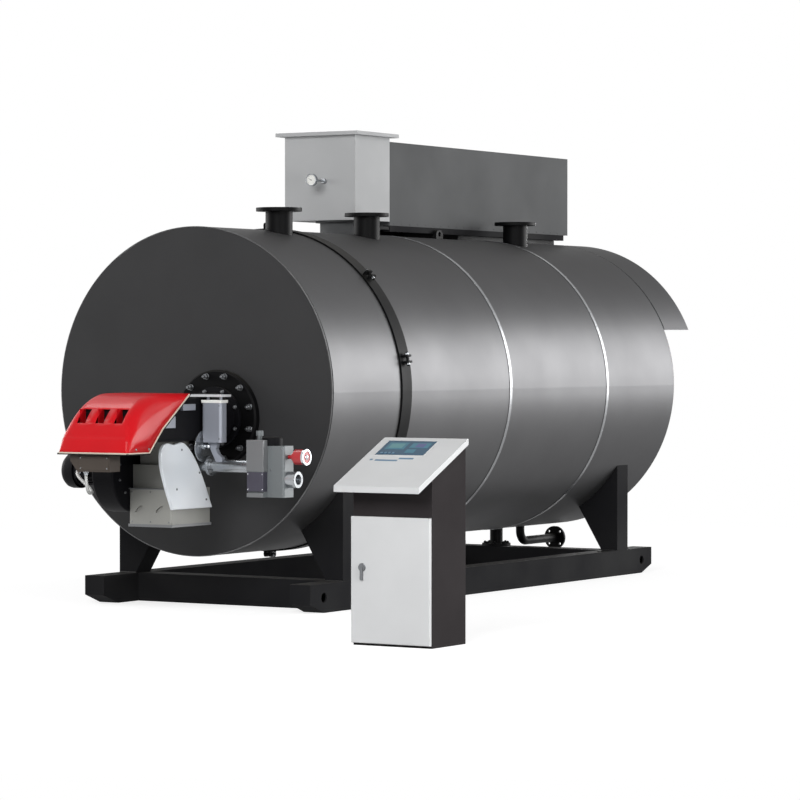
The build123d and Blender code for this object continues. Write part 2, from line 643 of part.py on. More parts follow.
def economiser():
    """Flue box with its outlet flange, economiser casing, rails, neck, stub and thermometer."""
    group = {}
    box = block(FLUE_LEFT, FLUE_RIGHT, FLUE_Y0, DUCT_Y0, FLUE_BOX_Z0, FLUE_BOX_Z1)
    box -= flue_passage(FLUE_BOX_Z0 + FLUE_SHEET, FLUE_BOX_Z1 + OVERRUN)
    dial_z = FLUE_BOX_Z0 + DIAL_OVER_FLOOR
    box -= rod_y(DIAL_STEM_RADIUS + FIT, DIAL_X, dial_z, FLUE_Y0 - OVERRUN, FLUE_Y0 + 2 * FLUE_SHEET)
    group["flue_box"] = box
    rim = FLUE_FLANGE_OVERHANG
    flange_top = FLUE_BOX_Z1 + FLUE_FLANGE_THICK
    flange = block(FLUE_LEFT - rim, FLUE_RIGHT + rim, FLUE_Y0 - rim, DUCT_Y0 + rim, FLUE_BOX_Z1, flange_top)
    flange -= flue_passage(FLUE_BOX_Z1 - OVERRUN, flange_top + OVERRUN)
    middle = Pos((FLUE_LEFT + FLUE_RIGHT) / 2, (FLUE_Y0 + DUCT_Y0) / 2, FLUE_BOX_Z1)
    for corner in GridLocations(FLUE_WIDTH + rim, FLUE_BOX_DEPTH + rim, 2, 2):
        flange -= middle * corner * Cylinder(FLUE_HOLE_RADIUS, 4 * FLUE_FLANGE_THICK)
    group["flue_outlet_flange"] = flange
    casing = block(FLUE_LEFT, FLUE_RIGHT, DUCT_Y0, DUCT_Y1, DUCT_Z0, DUCT_Z1)
    lag = DUCT_LAGGING
    casing -= block(FLUE_LEFT + lag, FLUE_RIGHT - lag, DUCT_Y0 + lag, DUCT_Y1 - lag, DUCT_Z0 + lag, DUCT_Z1 - lag)
    group["economiser_casing"] = casing
    rails = [rail(FLUE_LEFT, 1), rail(FLUE_RIGHT, -1)]
    group["economiser_rails"] = Compound(children=rails)
    drum = cladding_form()
    group["economiser_neck"] = block(FLUE_LEFT + RAIL_WIDTH, FLUE_RIGHT - RAIL_WIDTH, REAR_Y - NECK_BEFORE_REAR,
                                     REAR_Y + NECK_PAST_REAR, AXIS_HEIGHT, DUCT_Z0) - drum
    group["flue_box_support"] = flue_box_support() - drum
    group["flue_thermometer"] = thermometer(dial_z)
    return group


def flue_passage(z0, z1):
    """Clear inside of the flue box and its flange."""
    return block(FLUE_LEFT + FLUE_SHEET, FLUE_RIGHT - FLUE_SHEET, FLUE_Y0 + FLUE_SHEET, DUCT_Y0 - FLUE_SHEET, z0, z1)


def rail(edge, inward):
    """Channel under an edge of the economiser casing, open towards the middle."""
    y1 = DUCT_Y1 - RAIL_SETBACK
    inner = edge + inward * RAIL_WIDTH
    web = edge + inward * RAIL_SHEET
    mouth = inner + inward * OVERRUN
    bar = block(min(edge, inner), max(edge, inner), DUCT_Y0, y1, DUCT_Z0 - RAIL_HEIGHT, DUCT_Z0)
    return bar - block(min(web, mouth), max(web, mouth), DUCT_Y0 - OVERRUN, y1 + OVERRUN,
                       DUCT_Z0 - RAIL_HEIGHT + RAIL_SHEET, DUCT_Z0 - RAIL_SHEET)


def flue_box_support():
    """Round stub with a collar, between the crown and the flue box."""
    x = FLUE_RIGHT - SUPPORT_FROM_RIGHT
    y = FLUE_Y0 + FLUE_BOX_DEPTH / 2
    stub = rod_z(SUPPORT_RADIUS, x, y, AXIS_HEIGHT, FLUE_BOX_Z0)
    return stub + rod_z(SUPPORT_RADIUS + SUPPORT_COLLAR, x, y, FLUE_BOX_Z0 - SUPPORT_COLLAR_THICK, FLUE_BOX_Z0)


def thermometer(z):
    """Dial thermometer on a stem through the flue box's front."""
    dial_y = FLUE_Y0 - DIAL_STEM
    dial = rod_y(DIAL_RADIUS, DIAL_X, z, dial_y - DIAL_DEPTH, dial_y)
    dial -= rod_y(DIAL_RADIUS - DIAL_RIM, DIAL_X, z, dial_y - DIAL_DEPTH - OVERRUN, dial_y - DIAL_DEPTH + DIAL_RECESS)
    gland = rod_y(DIAL_GLAND_RADIUS, DIAL_X, z, FLUE_Y0 - DIAL_GLAND, FLUE_Y0)
    return dial + gland + rod_y(DIAL_STEM_RADIUS, DIAL_X, z, dial_y, FLUE_Y0 + FLUE_SHEET)


def burner():
    """Burner with its fan, hood, air intake and fittings."""
    group = {}
    door = rod_y(BURNER_DOOR_RADIUS, BURNER_X, BURNER_Z, FRONT_Y - BURNER_DOOR_THICK, FRONT_Y)
    group["burner_door"] = chamfer(door.edges().group_by(Axis.Y)[0], BURNER_DOOR_CHAMFER)
    head = rod_y(HEAD_FLANGE_RADIUS, BURNER_X, BURNER_Z, HEAD_Y, FRONT_Y - BURNER_DOOR_THICK)
    group["burner_head"] = head + rod_y(HEAD_RADIUS, BURNER_X, BURNER_Z, CASING_Y1, HEAD_Y)
    group["burner_casing"] = burner_casing()
    group["burner_hood"] = burner_hood()
    group["fan_housing"] = fan_housing()
    group["fan_motor"] = fan_motor()
    group["terminal_box"] = terminal_box()
    group["motor_conduit"] = motor_conduit()
    group["air_intake_box"] = air_intake_box()
    group["air_intake_cover"] = air_intake_cover()
    group.update(gas_train())
    return group


def hood_underside():
    """Points (y, z) of the hood's lower and rear edge, from the nose to the rear of the crown."""
    foot = HOOD_Y0 + HOOD_FOOT
    knee = (foot + HOOD_KNEE_RUN, HOOD_Z0 + HOOD_KNEE_RISE)
    return [(HOOD_Y0, HOOD_Z0), (foot, HOOD_Z0), knee, (FRONT_Y - HOOD_TOP_REAR, HOOD_Z1)]


def bent_sheet(points, thick):
    """Closed outline of a bent sheet that lies below and behind a line of points."""
    steps = [(Vector(b) - Vector(a)).normalized() for a, b in zip(points, points[1:])]
    normals = [Vector(step.Y, -step.X) for step in steps]
    far = [Vector(points[0]) + normals[0] * thick]
    for point, before, after in zip(points[1:-1], normals, normals[1:]):
        far.append(Vector(point) + (before + after) * (thick / (1 + before.dot(after))))
    far.append(Vector(points[-1]) + normals[-1] * thick)
    return [*points, *reversed(far)]


def burner_casing():
    """Cast casing between the fan and the head, with the bent tray that carries the hood."""
    casing = block(CASING_X0, CASING_X1, CASING_Y0, CASING_Y1, CASING_Z0, CASING_Z1)
    casing = fillet(corners_along(casing, Axis.Y), CASING_CORNER)
    casing -= side_plate([*hood_underside(), (HOOD_Y0, HOOD_Z1)], HOOD_X0, HOOD_X1)
    casing += side_plate(bent_sheet(hood_underside(), TRAY_THICK), HOOD_X0 - TRAY_REVEAL, HOOD_X1 + TRAY_REVEAL)
    for near, far, foot, top in CASING_LUGS:
        casing += block(CASING_X1 - CASING_CORNER, CASING_X1 + CASING_LUG_REACH, FRONT_Y - far, FRONT_Y - near,
                        BURNER_Z + foot, BURNER_Z + top)
    return casing


def burner_hood():
    """Sheet hood over the fan end: a domed nose over a skirt, open below, with three slots."""
    underside = hood_underside()
    ahead = HOOD_Y0 - HOOD_FOOT
    over = HOOD_Z1 + HOOD_FOOT
    kept = [(ahead, HOOD_Z0), *underside[1:], (underside[-1][0], over), (ahead, over)]
    hood = (hood_form(0) - hood_form(HOOD_SHEET)) & side_plate(kept, HOOD_X0, HOOD_X1)
    slot_z = HOOD_Z0 + HOOD_SLOT_RISE
    for index in range(HOOD_SLOTS):
        x = HOOD_X0 + HOOD_SLOT_INSET + index * HOOD_SLOT_PITCH
        hood -= Pos(x, HOOD_Y0, slot_z) * Box(HOOD_SLOT_WIDTH, 2 * HOOD_FOOT, HOOD_SLOT_HEIGHT)
    return hood


def hood_form(inset):
    """Filled form of the hood, run on below and behind: skirt, elliptical dome, crown and leaning shoulders."""
    crease = HOOD_Z0 + HOOD_SKIRT
    crease_y = HOOD_Y0 + HOOD_SKIRT_LEAN
    top_front = crease_y + HOOD_DOME_RUN
    centre = crease - HOOD_DOME_SINK
    height = HOOD_Z1 - centre
    start = asin(HOOD_DOME_SINK / height)
    dome = EllipticalCenterArc((top_front, centre), HOOD_DOME_RUN / cos(start) - inset, height - inset,
                               start_angle=180 - degrees(start), arc_size=degrees(start) - 90)
    foot = Vector(dome @ 0) - Vector(HOOD_SKIRT_LEAN, HOOD_SKIRT) * 2
    rear = FRONT_Y - HOOD_TOP_REAR + HOOD_FOOT
    rest = Polyline([dome @ 0, foot, (rear, foot.Y), (rear, HOOD_Z1 - inset), dome @ 1])
    form = extrude(side_plane(HOOD_X0) * make_face([dome, rest]), HOOD_WIDTH)
    return form & hood_tunnel(dome @ 0, inset)


def hood_tunnel(corner, inset):
    """Space between the hood's sides, whose upper parts lean in over a crease that rises back from the corner."""
    back = HOOD_Y0 - HOOD_FOOT
    reach = 2 * HOOD_NOSE
    start = corner.Y - tan(radians(HOOD_CREASE_SLOPE)) * (corner.X - back)
    rise = 2 * (HOOD_Z1 - start)
    lean = rise * tan(radians(HOOD_SHOULDER_ANGLE))
    low = start - reach
    x0 = HOOD_X0 + inset
    x1 = HOOD_X1 - inset
    outline = [(x0, low), (x0, start), (x0 + lean, start + rise), (x1 - lean, start + rise), (x1, start), (x1, low)]
    plane = Plane(origin=(0, back, 0), x_dir=(1, 0, 0), z_dir=(0, -1, 0))
    slope = radians(HOOD_CREASE_SLOPE)
    return extrude(plane * make_face(Polyline(outline, close=True)), reach, dir=(0, cos(slope), sin(slope)))


def fan_housing():
    """Volute of the fan, its mouth against the casing above."""
    centre = (FAN_Y, FAN_Z)
    rear = FAN_Y + VOLUTE_REAR
    mouth = FAN_Z + VOLUTE_TOP
    front_arc = EllipticalCenterArc(centre, VOLUTE_FRONT, VOLUTE_TOP, start_angle=90, arc_size=90)
    foot_arc = EllipticalCenterArc(centre, VOLUTE_FRONT, VOLUTE_FOOT, start_angle=180, arc_size=90)
    rear_arc = EllipticalCenterArc(centre, VOLUTE_REAR, VOLUTE_FOOT, start_angle=270, arc_size=90)
    outlet = Polyline([(rear, FAN_Z), (rear, mouth), (FAN_Y, mouth)])
    volute = extrude(side_plane(FAN_X0) * make_face([front_arc, foot_arc, rear_arc, outlet]), FAN_WIDTH)
    curved = volute.edges().filter_by(GeomType.ELLIPSE)
    return fillet(curved, VOLUTE_CORNER)


def fan_motor():
    """Finned motor with its end cowl, mounting flange and terminal box."""
    x0 = FAN_X0 - MOTOR_LENGTH
    cowl = rod_x(MOTOR_RADIUS, FAN_Y, FAN_Z, x0, x0 + MOTOR_COWL)
    cowl = fillet(cowl.edges().group_by(Axis.X)[0], MOTOR_COWL_CORNER)
    motor = cowl + rod_x(MOTOR_CORE_RADIUS, FAN_Y, FAN_Z, x0 + MOTOR_COWL_CORNER, FAN_X0)
    motor += rod_x(MOTOR_RADIUS, FAN_Y, FAN_Z, FAN_X0 - MOTOR_FLANGE, FAN_X0)
    length = MOTOR_LENGTH - MOTOR_COWL - MOTOR_FIN_SETBACK
    fin = Box(length, MOTOR_FIN_THICK, MOTOR_RADIUS - MOTOR_FIN_THICK, align=(Align.MIN, Align.CENTER, Align.MIN))
    for index in range(MOTOR_FINS):
        turn = Rot((index + 0.5) * 360 / MOTOR_FINS, 0, 0)
        motor += Pos(x0 + MOTOR_COWL, FAN_Y, FAN_Z) * turn * fin
    box_x = FAN_X0 - MOTOR_BOX_FROM_FAN
    half = MOTOR_BOX_LENGTH / 2
    return motor + block(box_x - half, box_x + half, FAN_Y - MOTOR_BOX_REACH, FAN_Y,
                         FAN_Z - MOTOR_BOX_HEIGHT / 2, FAN_Z + MOTOR_BOX_HEIGHT / 2)


def terminal_box():
    """Electrical box under the tray, its lower left corner cut away."""
    x0 = HOOD_X0 + TERMINAL_INSET
    x1 = x0 + TERMINAL_WIDTH
    top = HOOD_Z0 - TRAY_THICK
    floor = top - TERMINAL_HEIGHT
    y0 = HOOD_Y0 + TERMINAL_SETBACK
    outline = [(x0, top), (x0, floor + TERMINAL_BEVEL_RISE), (x0 + TERMINAL_BEVEL_RUN, floor), (x1, floor), (x1, top)]
    plane = Plane(origin=(0, y0, 0), x_dir=(1, 0, 0), z_dir=(0, -1, 0))
    return extrude(plane * make_face(Polyline(outline, close=True)), -TERMINAL_DEPTH)


def motor_conduit():
    """Conduit that hangs from the terminal box and turns back up to the motor."""
    start_x = HOOD_X0 + TERMINAL_INSET + CONDUIT_INSET
    start_y = HOOD_Y0 + TERMINAL_SETBACK + TERMINAL_DEPTH / 2
    start_z = HOOD_Z0 - TRAY_THICK - TERMINAL_HEIGHT
    low = start_z - CONDUIT_DROP
    end_x = FAN_X0 - MOTOR_BOX_FROM_FAN
    end_y = FAN_Y - MOTOR_BOX_REACH
    route = [(start_x, start_y, start_z), (start_x, start_y, low), (start_x - CONDUIT_SHIFT, start_y + CONDUIT_RUN, low),
             (end_x, end_y - CONDUIT_STUB, FAN_Z), (end_x, end_y, FAN_Z)]
    path = FilletPolyline(route, radius=CONDUIT_BEND)
    return sweep(Plane(origin=route[0], z_dir=(0, 0, -1)) * Circle(CONDUIT_RADIUS), path)


def air_intake_box():
    """Air intake box with a ledge, a narrower upper part, a neck to the casing and two louvres."""
    y1 = AIR_BOX_Y0 + AIR_BOX_DEPTH
    floor = BURNER_Z - AIR_BOX_FLOOR_DROP
    ledge = BURNER_Z - AIR_LEDGE_DROP
    lower = block(FAN_X1, AIR_BOX_X1, AIR_BOX_Y0, y1, floor, ledge)
    lower = fillet(lower.edges().filter_by(Axis.Z), AIR_BOX_CORNER)
    upper_y0 = AIR_BOX_Y0 + AIR_LEDGE_DEPTH
    upper_y1 = upper_y0 + AIR_UPPER_DEPTH
    top = BURNER_Z - AIR_UPPER_DROP
    upper = block(FAN_X1, AIR_BOX_X1, upper_y0, upper_y1, ledge, top)
    inset = AIR_NECK_INSET
    neck = block(FAN_X1 + inset, AIR_BOX_X1 - inset, upper_y0 + inset, upper_y1 - inset, top, CASING_Z0)
    box = lower + upper + neck
    for louvre_x in LOUVRE_INSETS:
        place = Pos(FAN_X1 + louvre_x, AIR_BOX_Y0, floor + LOUVRE_RISE) * Rot(90, 0, 0) * Rot(0, 0, LOUVRE_TILT)
        recess = extrude(make_face(Ellipse(LOUVRE_LENGTH / 2, LOUVRE_HEIGHT / 2).edges()), LOUVRE_DEPTH, both=True)
        box -= place * recess
    return box


def air_intake_cover():
    """Upright cover on the intake's right side, swept forward at the top, with a notched crest."""
    edge = Spline(COVER_OUTLINE)
    cover = extrude(side_plane(0) * make_face([edge, Line(edge @ 1, edge @ 0)]), COVER_THICK)
    cover = fillet(cover.edges().group_by(Axis.X)[-1], COVER_CORNER)
    return Pos(AIR_BOX_X1, AIR_BOX_Y0 - COVER_LEAD, BURNER_Z - COVER_FOOT_DROP) * cover


def gas_train():
    """Gas butterfly with its cam and actuator, gas pipe, valve block, cap, switch and inlet port."""
    group = {}
    pipe = rod_x(GAS_PIPE_RADIUS, GAS_Y, GAS_Z, BURNER_X, VALVE_X0)
    pipe += rod_z(GAS_PIPE_RADIUS, BURNER_X, GAS_Y, GAS_Z, CASING_Z0)
    pipe += Pos(BURNER_X, GAS_Y, GAS_Z) * Sphere(GAS_PIPE_RADIUS)
    actuator_x = CASING_X1 + ACTUATOR_GAP
    for x in (actuator_x + GAS_FLANGE_GAP, VALVE_X0 - GAS_FLANGE_THICK):
        pipe += rod_x(GAS_FLANGE_RADIUS, GAS_Y, GAS_Z, x, x + GAS_FLANGE_THICK)
    group["gas_pipe"] = pipe
    group["gas_valve"] = gas_valve()
    cap_x = VALVE_X1 - VALVE_CAP_INSET
    cap = rod_z(VALVE_CAP_RADIUS, cap_x, GAS_Y, VALVE_Z1, VALVE_Z1 + VALVE_CAP_HEIGHT)
    group["gas_valve_cap"] = fillet(cap.edges().group_by(Axis.Z)[-1], VALVE_CORNER)
    switch_z = GAS_Z + SWITCH_RISE
    switch_x = VALVE_X1 + SWITCH_NECK
    switch = rod_x(SWITCH_NECK_RADIUS, GAS_Y, switch_z, VALVE_X1, switch_x)
    switch += rod_x(SWITCH_RING_RADIUS, GAS_Y, switch_z, switch_x - SWITCH_RING, switch_x)
    body = rod_x(SWITCH_RADIUS, GAS_Y, switch_z, switch_x, switch_x + SWITCH_LENGTH)
    group["gas_pressure_switch"] = switch + fillet(body.edges().group_by(Axis.X)[-1], VALVE_CORNER)
    port_z = GAS_Z - PORT_DROP
    port_end = VALVE_X1 + PORT_LENGTH
    port = rod_x(PORT_RADIUS, GAS_Y, port_z, VALVE_X1, port_end)
    group["gas_inlet_port"] = port - rod_x(PORT_BORE, GAS_Y, port_z, port_end - PORT_BORE_DEPTH, port_end + OVERRUN)
    group["actuator"] = actuator(actuator_x)
    group["actuator_bracket"] = block(CASING_X1 - BRACKET_REACH, actuator_x + ACTUATOR_WIDTH + BRACKET_OVERHANG,
                                      GAS_Y - ACTUATOR_DEPTH - BRACKET_OVERHANG, GAS_Y + BRACKET_OVERHANG,
                                      CASING_Z1, CASING_Z1 + BRACKET_THICK)
    group["cam_disc"] = cam_disc(actuator_x - CAM_GAP)
    return group


def gas_valve():
    """Valve body with its coil block in front and a small test fitting on top."""
    half = VALVE_DEPTH / 2
    valve = block(VALVE_X0, VALVE_X1, GAS_Y - half, GAS_Y + half, VALVE_Z0, VALVE_Z1)
    valve = fillet(valve.edges().filter_by(Axis.Z), VALVE_CORNER)
    coil_x0 = VALVE_X0 + COIL_INSET
    coil_x1 = coil_x0 + COIL_WIDTH
    coil_y = GAS_Y - half - COIL_DEPTH
    valve += block(coil_x0, coil_x1, coil_y, GAS_Y, VALVE_Z0 + COIL_FOOT + COIL_FOOT_GAP, VALVE_Z1)
    valve += block(coil_x0, coil_x1, coil_y, GAS_Y, VALVE_Z0, VALVE_Z0 + COIL_FOOT)
    valve += block(coil_x0, coil_x1, coil_y + COIL_FOOT_GAP, GAS_Y, VALVE_Z0, VALVE_Z1)
    fitting_x = VALVE_X0 + FITTING_INSET
    fitting_z = VALVE_Z1 + FITTING_HEIGHT
    valve += rod_z(FITTING_RADIUS, fitting_x, GAS_Y, VALVE_Z1, fitting_z)
    return valve + rod_z(FITTING_HEAD_RADIUS, fitting_x, GAS_Y, fitting_z - FITTING_HEAD, fitting_z)


def actuator(x0):
    """Actuator hung under its bracket by two posts, with a curved foot on the gas pipe."""
    y0 = GAS_Y - ACTUATOR_DEPTH
    top = CASING_Z1 - ACTUATOR_TOP_GAP
    floor = top - ACTUATOR_HEIGHT
    body = block(x0, x0 + ACTUATOR_WIDTH, y0, GAS_Y, floor, top)
    body = fillet(body.edges().filter_by(Axis.Z), ACTUATOR_CORNER)
    for side in (-1, 1):
        x = x0 + ACTUATOR_WIDTH / 2 + side * ACTUATOR_POST_PITCH / 2
        body += rod_z(ACTUATOR_POST_RADIUS, x, y0 + ACTUATOR_DEPTH / 2, top, CASING_Z1)
    outline = Polyline([(x0 + x, floor + z) for x, z in ACTUATOR_FOOT], close=True)
    plane = Plane(origin=(0, GAS_Y, 0), x_dir=(1, 0, 0), z_dir=(0, -1, 0))
    foot = extrude(plane * make_face(outline), ACTUATOR_FOOT_DEPTH)
    return body + (foot - rod_x(GAS_PIPE_RADIUS + FIT, GAS_Y, GAS_Z, x0, x0 + ACTUATOR_WIDTH + OVERRUN))


def cam_disc(x1):
    """Cam disc of the gas butterfly, with a crescent window and a ball hub."""
    y = GAS_Y - GAS_PIPE_RADIUS
    z = GAS_Z + CAM_RISE
    x0 = x1 - CAM_THICK
    disc = rod_x(CAM_RADIUS, y, z, x0, x1)
    disc -= rod_x(CAM_WINDOW_RADIUS, y, z + CAM_WINDOW_RISE, x0 - OVERRUN, x1 + OVERRUN)
    disc -= rod_x(GAS_PIPE_RADIUS + FIT, GAS_Y, GAS_Z, x0 - OVERRUN, x1 + OVERRUN)
    return disc


def cabinet():
    """Control cabinet: body, desk top with its screen, door and lock."""
    outline = make_face(Polyline([(CABINET_FRONT, 0), (CABINET_REAR, 0), (CABINET_REAR, CABINET_REAR_TOP),
                                  (CABINET_FRONT, CABINET_FRONT_TOP)], close=True))
    inner = offset(outline, amount=-CABINET_SHEET, kind=Kind.INTERSECTION)
    body = extrude(side_plane(CABINET_LEFT) * outline, CABINET_WIDTH)
    body -= extrude(side_plane(CABINET_LEFT + CABINET_SHEET) * inner, CABINET_WIDTH - 2 * CABINET_SHEET)
    body -= block(CABINET_LEFT + DOOR_FRAME, CABINET_RIGHT - DOOR_FRAME, CABINET_FRONT - OVERRUN,
                  CABINET_FRONT + 2 * CABINET_SHEET, DOOR_FOOT_GAP + DOOR_FRAME, DOOR_TOP - DOOR_FRAME)
    for z0, pin0 in ((DOOR_FOOT_GAP - HINGE_BRACKET - FIT, DOOR_FOOT_GAP - FIT),
                     (DOOR_TOP + FIT, DOOR_TOP + FIT - HINGE_PIN_LENGTH)):
        z1 = z0 + HINGE_BRACKET
        arm = block(HINGE_X - HINGE_INSET, HINGE_X + HINGE_INSET, HINGE_Y, CABINET_FRONT, z0, z1)
        arm += rod_z(HINGE_INSET, HINGE_X, HINGE_Y, z0, z1)
        body += arm + rod_z(HINGE_PIN_RADIUS, HINGE_X, HINGE_Y, pin0, pin0 + HINGE_PIN_LENGTH)
    return {"cabinet_body": body, "cabinet_door": cabinet_door(), "door_lock": door_lock(),
            "cabinet_desk": cabinet_desk(), "cabinet_screen": cabinet_screen(SCREEN_THICK, 0)}


def cabinet_door():
    """Folded door pan with a solid hinge stile that its pins turn in."""
    door = block(CABINET_LEFT, CABINET_RIGHT, DOOR_Y0, DOOR_Y1, DOOR_FOOT_GAP, DOOR_TOP)
    door = fillet(door.faces().sort_by(Axis.Y)[0].edges(), DOOR_CORNER)
    door -= block(CABINET_LEFT + DOOR_SHEET, CABINET_RIGHT - 2 * HINGE_INSET, DOOR_Y0 + DOOR_SHEET,
                  DOOR_Y1 + OVERRUN, DOOR_FOOT_GAP + DOOR_SHEET, DOOR_TOP - DOOR_SHEET)
    reach = HINGE_PIN_LENGTH + OVERRUN
    for z0 in (DOOR_FOOT_GAP - OVERRUN, DOOR_TOP - reach):
        door -= rod_z(HINGE_PIN_RADIUS + PIN_CLEARANCE, HINGE_X, HINGE_Y, z0, z0 + reach + OVERRUN)
    return door


def door_lock():
    """Round lock with a hanging swing handle, near the door's free edge."""
    x = CABINET_LEFT + LOCK_INSET
    z = DOOR_FOOT_GAP + LOCK_HEIGHT
    lock = rod_y(LOCK_RADIUS, x, z, DOOR_Y0 - LOCK_DEPTH, DOOR_Y0)
    half = HANDLE_WIDTH / 2
    top = z + HANDLE_LENGTH / 2 - HANDLE_DROP
    bar = block(x - half, x + half, DOOR_Y0 - HANDLE_THICK, DOOR_Y0 - LOCK_DEPTH / 2, top - HANDLE_LENGTH, top)
    return lock + fillet(bar.edges().filter_by(Axis.Y), half * 0.8)


def desk_place(from_front, lift):
    """Point (y, z) up the desk from its front edge and above its face."""
    slope = radians(DESK_SLOPE)
    y = CABINET_FRONT - DESK_FRONT_OVERHANG + from_front * cos(slope) - lift * sin(slope)
    return y, DESK_FRONT_HEIGHT + from_front * sin(slope) + lift * cos(slope)


def cabinet_desk():
    """Sloping desk top with a pocket for the screen."""
    y0 = CABINET_FRONT - DESK_FRONT_OVERHANG
    y1 = CABINET_REAR + DESK_REAR_OVERHANG
    z1 = DESK_FRONT_HEIGHT + DESK_RISE * (y1 - y0)
    outline = [(y0, DESK_FRONT_HEIGHT - DESK_THICK), (y1, z1 - DESK_THICK), (y1, z1), (y0, DESK_FRONT_HEIGHT)]
    desk = side_plate(outline, CABINET_LEFT - DESK_SIDE_OVERHANG, CABINET_RIGHT + DESK_SIDE_OVERHANG)
    desk = fillet(desk.faces().sort_by(Axis.Z)[-1].edges(), DESK_CORNER)
    return desk - cabinet_screen(SCREEN_THICK + OVERRUN, FIT)


def cabinet_screen(thick, clearance):
    """Screen set into the desk, grown by a clearance at its foot and sides."""
    x = CABINET_LEFT - DESK_SIDE_OVERHANG + SCREEN_INSET + SCREEN_WIDTH / 2
    foot = SCREEN_PROUD - SCREEN_THICK - clearance
    y, z = desk_place(SCREEN_FROM_FRONT + SCREEN_LENGTH / 2, foot)
    plate = Box(SCREEN_WIDTH + 2 * clearance, SCREEN_LENGTH + 2 * clearance, thick + clearance,
                align=(Align.CENTER, Align.CENTER, Align.MIN))
    return Pos(x, y, z) * Rot(DESK_SLOPE, 0, 0) * plate


nodes = boiler_shell()
nodes.update({name: crown_nozzle(y) for name, y in NOZZLES_Y.items()})
nodes["lifting_eye"] = lifting_eye()
nodes.update(supports())
nodes.update(bottom_pipes())
nodes.update(economiser())
nodes.update(burner())
nodes.update(cabinet())

os.makedirs("parts", exist_ok=True)
for name, shape in nodes.items():
    export_step(shape, f"parts/{name}.step")
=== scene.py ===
"""Looks of an industrial boiler with its burner, gas train, economiser and cabinet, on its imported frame."""

import json
import logging
import math
from abc import ABC, abstractmethod
from collections.abc import Iterable, Sequence
from dataclasses import dataclass, field
from enum import Enum
from itertools import product

import bmesh
import bpy
from mathutils import Matrix, Vector

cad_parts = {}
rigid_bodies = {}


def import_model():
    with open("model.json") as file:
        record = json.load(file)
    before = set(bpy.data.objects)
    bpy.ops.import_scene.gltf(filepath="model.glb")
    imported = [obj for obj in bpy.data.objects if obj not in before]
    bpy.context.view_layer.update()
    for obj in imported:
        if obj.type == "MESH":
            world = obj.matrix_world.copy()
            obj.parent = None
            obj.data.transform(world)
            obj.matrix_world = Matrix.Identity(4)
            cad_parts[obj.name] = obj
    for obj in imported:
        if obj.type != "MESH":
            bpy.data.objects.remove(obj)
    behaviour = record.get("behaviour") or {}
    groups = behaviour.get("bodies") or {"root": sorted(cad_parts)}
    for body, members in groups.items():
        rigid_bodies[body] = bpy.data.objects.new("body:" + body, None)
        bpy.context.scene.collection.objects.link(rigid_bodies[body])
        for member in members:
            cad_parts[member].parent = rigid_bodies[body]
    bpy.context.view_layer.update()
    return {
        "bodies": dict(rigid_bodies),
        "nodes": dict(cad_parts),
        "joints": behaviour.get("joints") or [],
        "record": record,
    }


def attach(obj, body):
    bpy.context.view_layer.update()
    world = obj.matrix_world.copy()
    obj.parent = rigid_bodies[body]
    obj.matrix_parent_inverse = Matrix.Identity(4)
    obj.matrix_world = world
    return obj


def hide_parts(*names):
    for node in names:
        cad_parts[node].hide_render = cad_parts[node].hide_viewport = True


LOG = logging.getLogger("boiler")
MM = 0.001
Pair = tuple[float, float]
Point = tuple[float, float, float]
Edges = tuple[float, float, float, float]
Block = tuple[Point, Point]
Grid = tuple[tuple[float, ...], ...]
Socket = bpy.types.NodeSocket
Tree = bpy.types.NodeTree

# Places that several assemblies share, in millimetres of the row frame
FRONT_Y = -460.0
AXIS_Z = 1321.0
DRUM_R = 1000.0
BURNER_X = 195.0
BURNER_Z = 1166.0

# Directions of the row frame, with the burner at the front, and the two sides of what is mirrored
FORWARD = (0, -1, 0)
REARWARD = (0, 1, 0)
RIGHT = (1, 0, 0)
LEFT = (-1, 0, 0)
UP = (0, 0, 1)
DOWN = (0, 0, -1)
SIDES = (-1, 1)

# Turned outlines of fasteners, as shares of their width and height
WASHER = ((0, 0), (0.62, 0), (0.62, 0.1), (0, 0.1))
HEXAGON = ((0, 0), (1, 0), (1, 0.86), (0.88, 1), (0, 1))
THREAD_END = ((0.29, 1), (0.29, 1.25), (0.24, 1.35), (0, 1.35))
ROUND_HEAD = ((1, 0), (0.95, 0.45), (0.7, 0.85), (0.3, 1), (0, 1))

# Size of the uneven clouds over a sheet or casting, in millimetres, and the shares of them between which
# its tone, its roughness and its worn patches change, with the same for the fine specks in those patches
CLOUD = 450.0
TONED = (0.35, 0.65)
ROUGHENED = (0.3, 0.7)
RUBBED = (0.4, 0.62)
SPECKED = (0.35, 0.6)

# Turn of an edge, as a cosine, at which wear starts and is full, and the most that it shows
EDGE_TURN = (0.995, 0.9)
MOST_WEAR = 0.7

# Colour of settled dust, the upward share of a face from which it stays, and the top layer's roughness
DUST = "b9b5ac"
DUSTY_FROM = 0.5
COAT_ROUGHNESS = 0.12


class Body(Enum):
    """Moving bodies of the frame that pieces ride on."""

    PLANT = "root"
    DOOR = "cabinet_door"


class Head(Enum):
    """Kind of a fastener's head."""

    NUT = "hexagon nut on its washer"
    ROUND = "low round head of a rivet or a screw"


class Pattern(Enum):
    """Surface structure of a finish, as its making leaves it."""

    # The orange peel of sprayed paint is 1 to 6 mm wide and drawn so; glass and print have no height of it
    PAINTED = "orange peel"
    # Rolling and brushing lines are about 0.1 mm wide, and are drawn 15 to 25 times as wide to show at all
    ROLLED = "fine lines round the drum"
    # Cast and textured skins have grains of 0.3 to 1 mm, and are drawn a few times as coarse to show
    CAST = "cast grain"
    # Zinc crystals are 5 to 15 mm wide, and are drawn at their real size
    SPANGLED = "zinc crystals"


